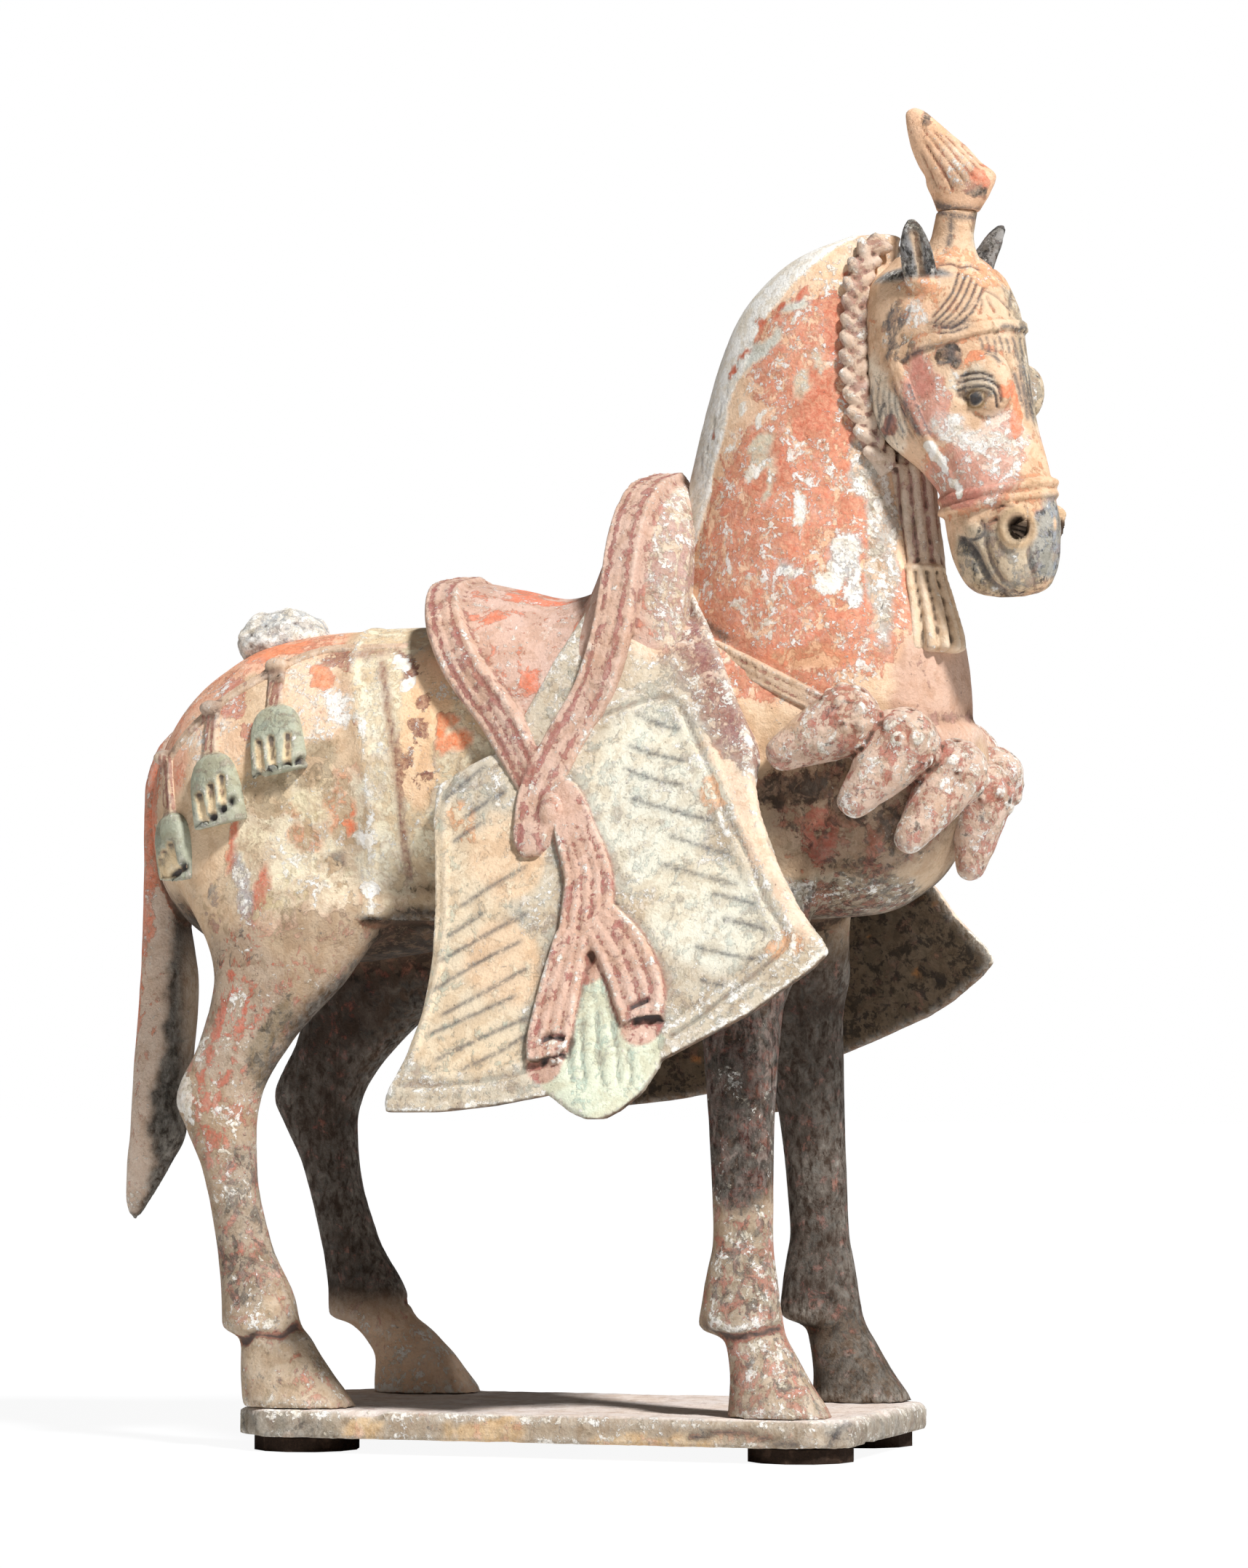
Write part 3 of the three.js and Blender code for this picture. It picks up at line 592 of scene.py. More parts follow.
PLAIT_WIDTH, PLAIT_THICKNESS, PLAIT_STRANDS, STRAND_SIZE = 7.5, 2.4, 26, (2.5, 2.7, 5.2)
PLAITS = [[331, 117], [342, 111.5], [354, 108], [370, 106], [398, 106.5], [408, 109], [415, 113]]
THROAT_SLITS = (9, 13)
THROAT_RING_PLACE, THROAT_RING_SIZE = (127.6, -11, 296.5), (9.4, 9.2, 2.4)
THROAT_TIERS = [
    [
        [338, 122, -7, 6], [330, 124.5, -9, 7.6], [315, 126, -9.5, 7.8], [297, 128, -10.5, 8],
        [295.5, 128, -10.5, 6],
    ],
    [
        [298, 127.5, -11, 7.5], [295, 127.5, -11, 9], [284, 129.5, -12, 10.5], [268, 131.5, -13, 12.3],
        [266.5, 131, -13, 10],
    ],
]
BREAST = [[58, 268, 8.5, 3], [78, 258, 8.5, 3], [96, 249, 8.5, 3], [125, 233, 8.5, 3]]
TASSELS = [
    [12.2, [113.5, -45, 243], [87, -53, 229]], [12.2, [131.5, -40, 236], [113, -51, 211.5]],
    [11, [145.5, -26, 226], [130, -39, 199]], [10.6, [148.5, -2, 220], [143.5, -4, 190]],
]
TASSEL_KNOBS, KNOB_SIZES, KNOB_FLATNESS = 26, (1.9, 3.0), 0.62
GOLDEN_ANGLE = 2.39996
TASSEL_PROFILE = [
    [-0.26, 0.2], [-0.24, 0.45], [-0.12, 0.85], [0.1, 1.0], [0.42, 0.88], [0.8, 0.62], [1.0, 0.46],
    [1.08, 0.3], [1.11, 0.05],
]
PENDANTS = [
    [[-106, 264], [-103, 250], [-98.5, 226]], [[-129, 249], [-127, 233], [-122, 208]],
    [[-149, 232], [-146, 212], [-142, 190]],
]
PENDANT_STRAP = ((6.2, 1.5), (6.8, 1.9))
PENDANT_KNOB = (4.6, 2.6, 3.0)
CRUPPER = [
    [-58, 272, 4.6, 1.1], [-86, 272, 4.6, 1.1], [-115, 260, 4.6, 1.1], [-138, 244, 4.6, 1.1],
    [-153, 228, 4.6, 1.1],
]
ROSETTE_PLACE, ROSETTE_SIZE = (-118.5, 0, 277), (18.5, 15, 13)
BELL = [[0, 8, 1.6], [0.06, 13, 3.4], [0.22, 18, 4.4], [0.5, 20.5, 5.2], [1, 21.5, 6.4]]
KNOBS = []


def plait_shells(side):
    """A braid: slanted strands that lie over each other from both sides."""
    last = PLAIT_STRANDS
    z = spread(PLAITS[0][0], PLAITS[-1][0], last + 1)
    point, normal = on_side(neck_width, smooth_rows(PLAITS, z)[:, 0], z, side)
    shells = [strap(point, normal, PLAIT_WIDTH, PLAIT_THICKNESS, rounded(7))]
    for i in range(1, last):
        run = unit(point[min(i + 1, last)] - point[i - 1])
        lean_out = np.cross(run, normal[i]) * (1 if i % 2 else -1)
        turn = frame_along(run * 0.75 + lean_out * 0.66, normal[i])
        shells.append(blob(point[i] + lean_out * 2.0 + normal[i] * 2.0, STRAND_SIZE, 16, 12, turn))
    return shells


def throat_shells():
    shells = []
    angle = round_angles(160)
    for rows, slits in zip(THROAT_TIERS, THROAT_SLITS):
        z, x, y, half = columns(rows, 60)
        reach = half * (0.74 + 0.32 * np.abs(np.sin(angle * slits / 2 + 0.4)) ** 0.8)
        shells.append(shell(grid(x + reach * np.cos(angle), y + reach * np.sin(angle), z)))
    return shells + [blob(THROAT_RING_PLACE, THROAT_RING_SIZE, 40, 12)]


def tassel_shells(radius, head, tip, seed):
    axis = tip - head
    length = np.linalg.norm(axis)
    turn = frame_along(axis)
    share, size = columns(TASSEL_PROFILE, 60)
    angle = round_angles(48)
    local = grid(radius * size * np.cos(angle), radius * size * np.sin(angle), share * length)
    shells = [shell(head + local @ turn.T)]
    dice = np.random.default_rng(seed)
    for i in range(TASSEL_KNOBS):
        lift = 1 - 1.55 * (i + 0.5) / TASSEL_KNOBS
        around = i * GOLDEN_ANGLE + dice.uniform(-0.35, 0.35)
        flat = math.sqrt(max(0, 1 - lift * lift))
        way = np.array([flat * math.cos(around), flat * math.sin(around), -lift])
        middle = head + turn @ (way * radius * [1, 1, 0.85] + [0, 0, 0.1 * length])
        size = dice.uniform(*KNOB_SIZES)
        outward = turn @ way
        shells.append(blob(middle, (size, size, size * KNOB_FLATNESS), 14, 10, frame_along(outward)))
        if i % 3 == 0:
            KNOBS.append(middle + outward * size * KNOB_FLATNESS)
    return shells


def pendant_shells(rows, side):
    strap_top, bell_top, foot = np.array(rows)
    bridge = [[*place, *size] for place, size in zip((strap_top, bell_top), PENDANT_STRAP)]
    bell = [[*(bell_top + (foot - bell_top) * share), *size] for share, *size in BELL]
    knob_point, knob_normal = on_side(trunk_width, strap_top[0] - 0.6, strap_top[1] + 1.0, side)
    return [
        side_strap(trunk_width, bridge, side, fluted(3, 0.75), 24),
        side_strap(trunk_width, bell, side, rounded(25, 2.3), 60),
        blob(knob_point + knob_normal * 1.4, PENDANT_KNOB),
    ]


# Saddle tables

SADDLE_FLOOR, SADDLE_POWER, SADDLE_RIM = 215, 2.2, 232
BAND_FOOT = [[2.6, 67, 200, (7.6, 4.2, 7)], [8.6, 65.5, 208, (5.2, 4.2, 9)]]
SADDLE = [
    [-55.5, -24, 281, 36], [-53.5, -20, 290, 43], [-47, -13, 296, 47.5], [-40, -8, 297, 49],
    [-24, -1, 294, 49.5], [-4, 5, 290, 48.5], [8, 10, 293, 47.5], [16, 15, 311, 46], [20, 19, 324, 44],
    [26, 24, 330.5, 43], [34, 32, 332, 41.5], [41, 40, 329, 40], [47, 47, 318, 37],
]
CANTLE_BAND = [
    [-45.5, 1.5, 296.5, 12], [-45.5, -22, 292.5, 13], [-41, -39, 281.5, 14], [-31, -48.5, 264, 15],
    [-13, -53.5, 241, 15], [-1, -59, 221, 12],
]
POMMEL_BAND = [
    [31, 1.5, 332, 13], [29, -18, 327, 14], [27, -31, 315.5, 14], [26, -39, 300, 14], [25, -44.5, 280, 14.5],
    [20, -50, 256, 15], [8, -56, 231, 15], [2, -63, 212, 15], [2.3, -67.5, 201, 14], [2.8, -69.5, 194, 7],
]
BAND_HEIGHT, BAND_AXIS = 3.4, 255
FLAP = [
    [105.5, -38, -20], [108, -39, 2], [111.5, -39, 20], [124, -34, 60], [139, -30.5, 88], [154, -29.5, 108],
    [160, -29.5, 113.5], [164, -30, 111], [176, -31, 100.5], [190, -33, 92], [208, -36, 83.5], [220, -36, 80],
    [228, -24, 79], [234, -12, 78], [264, 2, 63], [298, 20, 42],
]
FLAP_WALL, FAR_FLAP_REACH = 5.5, 18
FLARE_TOP, FLARE_HEIGHT, FLARE_START, FLARE_REACH, FLARE_POWER = 293, 183, 38, 66, 1.2
NECK_SIDE = (26, 44)
SASH = [[7, 221, 7, 2], [13, 215, 12, 4], [18, 203, 15.5, 4], [25.5, 184, 18.5, 4], [27, 160, 22, 4]]
SASH_ENDS = [
    [[22, 166, 13, 4.5], [20, 146, 16, 4.5], [18.5, 130, 17, 4.5], [18, 122, 13, 4.5]],
    [[31, 172, 15, 4.5], [41, 160, 19, 4.5], [48.5, 146, 20, 4.5], [51, 136, 15, 4.5]],
]
TONGUE = [
    [103.5, 35, 41], [106, 29, 46], [112, 20, 53], [121, 13.5, 58], [131, 18, 60], [143, 25, 46],
    [158, 31, 34],
]


def saddle_shell():
    x, low, top, half = columns(SADDLE, 110)
    c, s = oval(round_angles(96), SADDLE_POWER)
    floor = SADDLE_FLOOR - 15
    z = np.maximum((top + floor + s * (top - floor)) / 2, SADDLE_RIM)
    lean = np.clip((top - z) / (top - SADDLE_FLOOR), 0, 1)
    return shell(grid(x + (low - x) * lean, half * c, z))


def band_shell(rows, side, flutes):
    x, y, z, width = along(rows, 90).T
    point = np.column_stack([x, -side * y, z])
    normal = np.column_stack([0 * x, point[:, 1], np.maximum(0, z - BAND_AXIS)])
    return strap(point, unit(normal, 1e-6), width, BAND_HEIGHT, fluted(flutes, 0.4))


def flare(x, z):
    """How far out the flaps swing at a height."""
    down = np.maximum(0, FLARE_TOP - z) / FLARE_HEIGHT
    return FLARE_START + FLARE_REACH * down**FLARE_POWER + 0 * x


def body_width(x, z):
    """Half width of the trunk or of the neck, whichever is wider."""
    trunk = trunk_width(np.clip(x, -163, 146), z)
    neck = neck_width(x, np.clip(z, 215, 417)) * step_up(z, 225, 245)
    return np.maximum(np.nan_to_num(trunk), np.nan_to_num(neck))


def flap_out(x, z):
    """Where a flap's face lies: close to the body at the top, and swung out below."""
    free = flare(0, z)
    close = np.minimum(free, body_width(x, z) + 1.6)
    return free + (close - free) * step_up(z, 218, 256) * step_up(x, *NECK_SIDE)


def sheet(x, outer, inner, z):
    """A skin around a sheet, from its two faces."""
    return shell(np.concatenate([grid(x, outer, z), grid(x, inner, z)[:, ::-1]], 1))


def flap_shell(side):
    z, rear, front = columns(FLAP, 190, linear_rows)
    if side == FAR:
        front = front + FAR_FLAP_REACH * np.clip((front - 40) / 55, 0, 1)
    wall = FLAP_WALL + np.maximum(0, z - 216) * 0.5
    x = rear + (front - rear) * spread(0, 1, 110)
    out = flap_out(x, z + 0 * x) - 4.5 * step_up(z, 262, 297) * step_down(x, *NECK_SIDE)
    edge = np.clip(np.minimum(x - rear, front - x) / 2.2, 0, 1)
    lip = -1.4 * (1 - np.sqrt(edge * (2 - edge)))
    return sheet(x, side * (out + lip + 0.8), side * (out - wall), z)


def tongue_shell(side):
    z, rear, front = columns(TONGUE, 70, linear_rows)
    out, share = flare(0, z), spread(0, 1, 24)
    proud = 2.2 * np.minimum(1, 0.15 + 4 * share * (1 - share)) + 0.6 * step_up(125 - z, 0, 20)
    return sheet(rear + (front - rear) * share, side * (out + proud), side * (out - FLAP_WALL + 0.4), z)


def flap_shells(side):
    ends = [side_strap(flare, rows, side, fluted(4, 0.3), 50) for rows in SASH_ENDS]
    return [flap_shell(side), tongue_shell(side), side_strap(flare, SASH, side, fluted(5, 0.4), 60), *ends]


def saddle_shells():
    shells = [saddle_shell()]
    for side in SIDES:
        shells += [
            *(blob((x, side * y, z), size) for x, y, z, size in BAND_FOOT),
            band_shell(CANTLE_BAND, side, 4),
            band_shell(POMMEL_BAND, side, 5),
        ]
    return shells


# Plume, plinth and pads

PLUME_LENGTH = 38.5
PLUME = [
    [0, 44.9, 7.6, 6.6], [0.14, 45.9, 11, 7], [0.3, 46, 13.6, 7.5], [0.44, 41.5, 12, 7], [0.6, 37, 10.6, 6],
    [0.75, 32.6, 8, 4.8], [0.88, 29.2, 5.6, 3.6], [0.97, 27, 3.4, 2.2], [1, 26.6, 1.2, 1],
]
PLINTH_CUT = 12


def plume_shell():
    share, middle, depth, half = columns(PLUME, 90)
    c, s = oval(round_angles(96), 2.2)
    return shell(from_head(grid(middle + depth * c, half * s, STUB_TOP + SEAT_GAP + share * PLUME_LENGTH)))


def plinth_shell():
    x, y = (plinth_high[:2] - plinth_low[:2]) / 2
    cut_x, cut_y = x - PLINTH_CUT, y - PLINTH_CUT
    half_ring = [[x, cut_y], [cut_x, y], [-cut_x, y], [-x, cut_y]]
    ring = np.array(half_ring + [[-u, -v] for u, v in half_ring])
    middle = (plinth_low + plinth_high) / 2
    rings = [np.column_stack([ring + middle[:2], np.full(8, z)]) for z in (plinth_low[2], plinth_high[2])]
    return shell(np.stack(rings) - figure_origin)


# Paint: colours as the eye reads them, turned into the light values that the shaders take

def tint(colour):
    value = np.array(colour) / 255
    return np.where(value <= 0.04045, value / 12.92, ((value + 0.055) / 1.055) ** 2.4)


CREAM, PALE_YELLOW, TAN, UMBER = (240, 228, 205), (238, 224, 188), (214, 188, 158), (92, 78, 66)
PEACH, ORANGE, BRIGHT_ORANGE, BRICK = (238, 196, 162), (232, 142, 98), (236, 108, 62), (205, 104, 76)
ROSE, MAUVE, BLUE_GREY, GREY_GREEN = (214, 146, 128), (182, 138, 126), (170, 176, 180), (198, 198, 176)
CHARCOAL = (70, 68, 68)
PAINT = ("tone", "flake", "cover", "slip", "soot_and_shade")


class Painter:
    """Pigments of a skin: a tone, flakes of a second colour, white slip, soot and painted shade, and drawn
    lines.
    """

    def __init__(self, skin, placed, *paint):
        self.skin = skin
        self.pixel = in_photo(placed)  # where each point would be on the near side
        warp, ragged = (
            np.column_stack([rough(placed, size, octaves, seed) for seed in seeds])
            for size, octaves, seeds in ((22, 5, (3, 9)), (5, 3, (13, 19)))
        )
        self.loose = self.pixel + 16 * warp + 9 * ragged
        blank = np.zeros(len(placed))
        self.values = {name: blank[None] + np.zeros((3, 1)) if name in PAINT[:2] else blank for name in PAINT}
        self.zone(blank + 1, *paint)

    def zone(self, weight, *paint):
        """Lays a tone, a flake colour, and shares of flakes, slip, and soot and painted shade. None leaves
        what is there.
        """
        weight = np.clip(weight, 0, 1)
        for name, value in zip(PAINT, paint):
            if value is not None:
                value = tint(value)[:, None] if isinstance(value, tuple) else value
                self.values[name] = self.values[name] + weight * (value - self.values[name])

    def spot(self, x, y, width, height, turn=0):
        """An oval of the photograph's frame with loose edges."""
        dx, dy = self.loose[:, 0] - x, self.loose[:, 1] - y
        c, s = math.cos(math.radians(turn)), math.sin(math.radians(turn))
        away = np.hypot((dx * c + dy * s) / width, (dy * c - dx * s) / height)
        return step_up(2.6 * (1.22 - away), 0, 1)

    def layers(self, rows):
        """One paint after the other, each followed by the ovals that it covers."""
        for row in rows:
            self.zone(np.max([self.spot(*oval) for oval in row[5:]], axis=0), *row[:5])

    def lines(self, pen, paths, width, *paint, share=1, **how):
        for path in paths:
            self.zone(share * pen.stroke(path, width, **how), *paint)

    def finish(self, crease_rounds, crease_size, ink=0):
        hollow = self.skin.hollow(crease_rounds)
        hollow = hollow + 0.5 * self.skin.to_mean(hollow)[:, 0]
        self.values["line"] = ink + 0 * hollow
        self.skin.marks = {name: np.clip(value, 0, 1).T for name, value in self.values.items()}
        self.skin.marks["crease"] = np.clip(hollow / crease_size, -1, 1)


class Pen:
    """Carves and draws lines that are given by their pixels in the photograph."""

    def __init__(self, pixel, towards):
        self.pixel, self.towards = pixel, towards
        self.height, self.ink = np.zeros((2, len(pixel)))

    def away(self, x, y, tall=1):
        """Millimetres from a pixel."""
        return np.hypot(self.pixel[:, 0] - x, (self.pixel[:, 1] - y) / tall) * PIXEL

    def stroke(self, path, width, power=2.0, taper=0.0, smooth=True):
        """Weight of a stroke of a width in millimetres."""
        path = along(path, 4 * len(path)) if smooth and len(path) > 2 else np.asarray(path, float)
        away, share = path_distance(self.pixel, path, 1.6 * width / PIXEL)
        weight = np.exp(-((away * PIXEL / (width / 2)) ** power))
        if taper:
            weight = weight * step_up(share, 0, taper) * step_down(share, 1 - taper, 1)
        return weight * step_up(self.towards, 0.05, 0.3)

    def carve(self, paths, width, depth, ink=0.0, **how):
        for path in paths:
            weight = self.stroke(path, width, **how)
            carved = np.minimum(self.height, 0) * (1 - weight) + np.maximum(self.height, 0) - depth * weight
            self.height = np.where(weight > 0.01, carved, self.height)
            self.ink = np.maximum(self.ink, ink * weight)

    def draw(self, paths, width, ink, **how):
        for path in paths:
            self.ink = np.maximum(self.ink, ink * self.stroke(path, width, **how))


def near_side(points):
    """Where points of either side would be on the near side."""
    return np.column_stack([points[:, 0], -np.abs(points[:, 1]), points[:, 2]])


def near_facing(skin, pose=None):
    """How squarely each point faces the camera, once mirrored to the near side."""
    normals = skin.normals()
    normals[:, 1] *= np.where(skin.co[:, 1] > 0, -1, 1)
    return -((normals if pose is None else pose(normals)) @ view_ahead)


# Materials

class Graph:
    """Short ways to add and link shader nodes."""

    def __init__(self, tree):
        self.tree = tree

    def put(self, socket, value):
        if isinstance(value, bpy.types.NodeSocket):
            self.tree.links.new(value, socket)
        else:
            socket.default_value = value

    def add(self, kind, settings=None, **inputs):
        node = self.tree.nodes.new(kind)
        for key, value in (settings or {}).items():
            setattr(node, key, value)
        for key, value in inputs.items():
            self.put(node.inputs[key.replace("_", " ")], value)
        return node

    def mark(self, name):
        node = self.add("ShaderNodeAttribute", {"attribute_name": name})
        return node.outputs["Color" if name in PAINT[:2] else "Fac"]

    def math(self, operation, *values, clamp=False):
        node = self.add("ShaderNodeMath", {"operation": operation, "use_clamp": clamp})
        for socket, value in zip(node.inputs, values):
            self.put(socket, value)
        return node.outputs[0]

    def times(self, first, second):
        return self.math("MULTIPLY", first, second)

    def scaled(self, value, scale, offset, clamp=False):
        return self.math("MULTIPLY_ADD", value, scale, offset, clamp=clamp)

    def clamped(self, value, scale, offset):
        return self.scaled(value, scale, offset, True)

    def mix(self, factor, first, second, blend="MIX"):
        node = self.add("ShaderNodeMix", {"data_type": "RGBA", "blend_type": blend})
        for number, value in ((0, factor), (6, first), (7, second)):
            self.put(node.inputs[number], (*value, 1) if isinstance(value, tuple) else value)
        return node.outputs[2]

    def shaded(self, factor, color, shade):
        """A colour multiplied by a shade, as far as the factor says."""
        return self.mix(factor, color, self.mix(1.0, color, shade, "MULTIPLY"))

    def noise(self, place, size, detail, roughness, distortion=0.0, shift=0.0, stretch=(1, 1, 1)):
        """Noise with features of a size in millimetres."""
        if shift:
            offset = (shift, shift * 0.7, shift * 1.3)
            place = self.add("ShaderNodeMapping", Vector=place, Location=offset, Scale=stretch).outputs[0]
        looks = {"Detail": detail, "Roughness": roughness, "Distortion": distortion}
        return self.add("ShaderNodeTexNoise", Vector=place, Scale=1000 / size, **looks).outputs["Fac"]

    def flakes(self, noise, share, crisp):
        """Where flakes of a share of the surface lie, from noise around a half."""
        limit = self.scaled(share, -0.56, 0.78)
        return self.clamped(self.math("SUBTRACT", noise, limit), crisp, 0.5)


def node_graph(name, **inputs):
    material = bpy.data.materials.new(name)
    material.use_nodes = True
    shader = material.node_tree.nodes["Principled BSDF"]
    for key, value in inputs.items():
        shader.inputs[key.replace("_", " ")].default_value = value
    return material, Graph(material.node_tree), shader


def clay_material(name, flake_size=7.0, slip_size=9.0):
    material, g, shader = node_graph(name, Roughness=0.92, Specular_IOR_Level=0.22)
    place = g.add("ShaderNodeTexCoord").outputs["Object"]
    tone, flake, cover, slip, soot_and_shade, line, crease = (g.mark(key) for key in (*PAINT, "line", "crease"))
    hollow, ridge = g.clamped(crease, 1.0, 0.0), g.clamped(crease, -1.0, 0.0)

    broad = g.noise(place, 30, 3, 0.5, 0.3)
    middle = g.noise(place, 8, 9, 0.68, 0.5, 3.1)
    crumbs = g.noise(place, 1.8, 5, 0.7, 0.4, 8.3)
    streaks = g.noise(place, 3.4, 8, 0.72, 0.4, 4.4, (1.25, 1.25, 0.65))
    flake_noise = g.scaled(g.noise(place, flake_size, 9, 0.7, 0.5, 7.7), 0.6, g.times(streaks, 0.4))
    slip_noise = g.scaled(g.noise(place, slip_size, 9, 0.7, 0.8, 1.9), 0.55, g.times(crumbs, 0.45))
    cream_noise = g.scaled(g.noise(place, 5.0, 9, 0.72, 0.7, 13.9), 0.6, g.times(streaks, 0.4))
    soot_noise = g.noise(place, 6, 9, 0.72, 0.7, 5.3)
    fine = g.noise(place, 1.0, 3, 0.6, 0.0, 2.2)

    # The tone breaks up into darker earth and paler chalk
    color = g.shaded(g.clamped(middle, 11.0, -5.2), tone, (0.86, 0.81, 0.765))
    cream_mask = g.flakes(cream_noise, g.scaled(slip, 0.9, 0.04), 26.0)
    color = g.mix(g.times(cream_mask, 0.5), color, (0.80, 0.74, 0.65))
    color = g.shaded(g.clamped(broad, 5.0, -2.3), color, (1.03, 0.99, 0.94))

    # Flakes of the second pigment, thicker in the hollows and rubbed thin in places
    flake_mask = g.flakes(flake_noise, g.scaled(hollow, 0.34, cover), 30.0)
    flake_tone = g.mix(g.clamped(middle, 8.0, -3.6), flake, g.mix(0.4, flake, (0.30, 0.12, 0.07)))
    thin = g.scaled(g.clamped(crumbs, 3.2, -0.9), 0.55, 0.32)
    color = g.mix(g.times(flake_mask, thin), color, flake_tone)

    # White slip where paint and dirt have come off
    slip_mask = g.flakes(slip_noise, g.scaled(ridge, 0.16, g.scaled(slip, 0.9, 0.02)), 34.0)
    slip_tone = g.mix(g.clamped(soot_noise, 8.0, -3.6), (0.90, 0.88, 0.83), (0.74, 0.66, 0.54))
    color = g.mix(g.times(slip_mask, 0.85), color, slip_tone)

    # Olive and grey stains, soot and painted shade, and specks of earth
    stain_mask = g.flakes(soot_noise, g.scaled(soot_and_shade, 0.8, 0.08), 14.0)
    color = g.shaded(g.times(stain_mask, 0.6), color, (0.60, 0.59, 0.53))
    soot_and_shade_mask = g.flakes(cream_noise, g.scaled(soot_and_shade, 1.0, -0.04), 22.0)
    soot_and_shade_tone = g.mix(g.clamped(middle, 6.0, -2.9), (0.16, 0.145, 0.13), (0.42, 0.43, 0.43))
    color = g.shaded(g.times(soot_and_shade_mask, 0.85), color, soot_and_shade_tone)
    color = g.mix(g.times(g.clamped(crumbs, 30.0, -19.6), 0.55), color, (0.15, 0.10, 0.07))

    # Earth and painted shade in the hollows, nearly black in the deepest ones; raised edges paler
    earth_and_shade = g.times(hollow, g.clamped(crumbs, 1.6, 0.1))
    color = g.mix(g.times(earth_and_shade, 0.55), color, (0.17, 0.105, 0.065))
    color = g.mix(g.times(g.clamped(hollow, 2.6, -1.4), 0.7), color, (0.05, 0.036, 0.026))
    paler_ridges = g.times(ridge, g.clamped(streaks, 4.0, -1.6))
    color = g.mix(paler_ridges, color, g.mix(0.4, color, (0.86, 0.79, 0.68)))

    # Drawn lines, dragged over the grain
    drawn = g.clamped(g.times(line, g.clamped(crumbs, 5.0, -1.5)), 1.3, 0.0)
    color = g.mix(g.times(drawn, 0.78), color, (0.085, 0.085, 0.09))

    # Grain and pits
    color = g.mix(1.0, color, g.mix(fine, (0.86, 0.85, 0.84), (1.12, 1.11, 1.10)), "MULTIPLY")
    cells = g.add("ShaderNodeTexVoronoi", {"feature": "F1"}, Vector=place, Scale=1000 / 3.4, Randomness=1.0)
    pit = g.times(g.clamped(cells.outputs["Distance"], -9.0, 1.15), g.clamped(middle, 7.0, -3.4))
    g.put(shader.inputs["Base Color"], g.mix(g.times(pit, 0.75), color, (0.16, 0.11, 0.075)))

    height = g.scaled(flake_mask, 0.2, g.times(fine, 0.4))
    for part, share in ((slip_mask, 0.2), (middle, 0.5), (pit, -0.6), (crumbs, 0.7)):
        height = g.scaled(part, share, height)
    relief = g.add("ShaderNodeBump", Height=height, Strength=0.85, Distance=0.0008)
    g.put(shader.inputs["Normal"], relief.outputs[0])
    return material


# The horse's body

painted_clay = clay_material("painted_clay")
LEGS = ((HIND_LEG, HIND_STEPS), (FRONT_LEG, FRONT_STEPS))
forms = [trunk_shell(), level_shell(NECK, 72, 110, NECK_POWER, CREST_POWER), level_shell(TAIL, 36, 90)]
for side in SIDES:
    for rows, steps in LEGS:
        forms.append(level_shell(rows, 48, 110, side=side, steps=steps if side == FAR else None))
body = Surface("horse_body", forms)
body.smooth(8)
x, y, z = body.co.T
haunch = between(-x, 48, 62, 140, 150) * step_up(z, 150, 166) * step_down(z, 214, 232)
shoulder = between(x, 40, 52, 112, 122) * step_up(z, 150, 165) * step_down(z, 205, 222)
body.relax(45, np.maximum(haunch, shoulder) * step_up(np.abs(y), 8, 18))
body.push(0.35 * rough(body.co, 26, 3, 5) + 0.12 * rough(body.co, 7, 2, 8))
x, y, z = body.co.T
MANE_EDGE = [
    [300, 45], [324, 53], [335, 54], [345, 57], [356, 59], [366, 64], [376, 68], [386, 73], [398, 82],
    [417, 104],
]
behind_mane = linear_rows(MANE_EDGE, z)[:, 0] + 1.5 * rough(body.co, 12, 2, 4) - x
mane = step_up(behind_mane, -0.6, 0.6) * step_up(z, 298, 312)
body.push(0.7 * mane)
CLOTH_EDGE = [[160, -72], [176, -70], [190, -67], [216, -65], [242, -70], [255, -74], [268, -78], [286, -82]]
past_edge = x - linear_rows(CLOTH_EDGE, z)[:, 0]
side_of_trunk = step_down(x, 0, 10) * step_up(z, 168, 171)
cloth = step_up(past_edge, -1.0, 1.0) * step_up(z, 173, 175) * side_of_trunk
edge_ridge = bump(past_edge, 0, 2.6) * side_of_trunk * step_up(z, 173, 175)
body.push(0.7 * cloth + 0.8 * edge_ridge + 1.2 * cloth * step_down(z, 177, 184))
hide = Painter(body, near_side(body.co), (220, 192, 160), ORANGE, 0.24, 0.26, 0.2)
hide_pen = Pen(hide.pixel, near_facing(body))
under = step_up(-body.normals()[:, 2], 0.25, 0.7) * step_up(z, 20, 40)

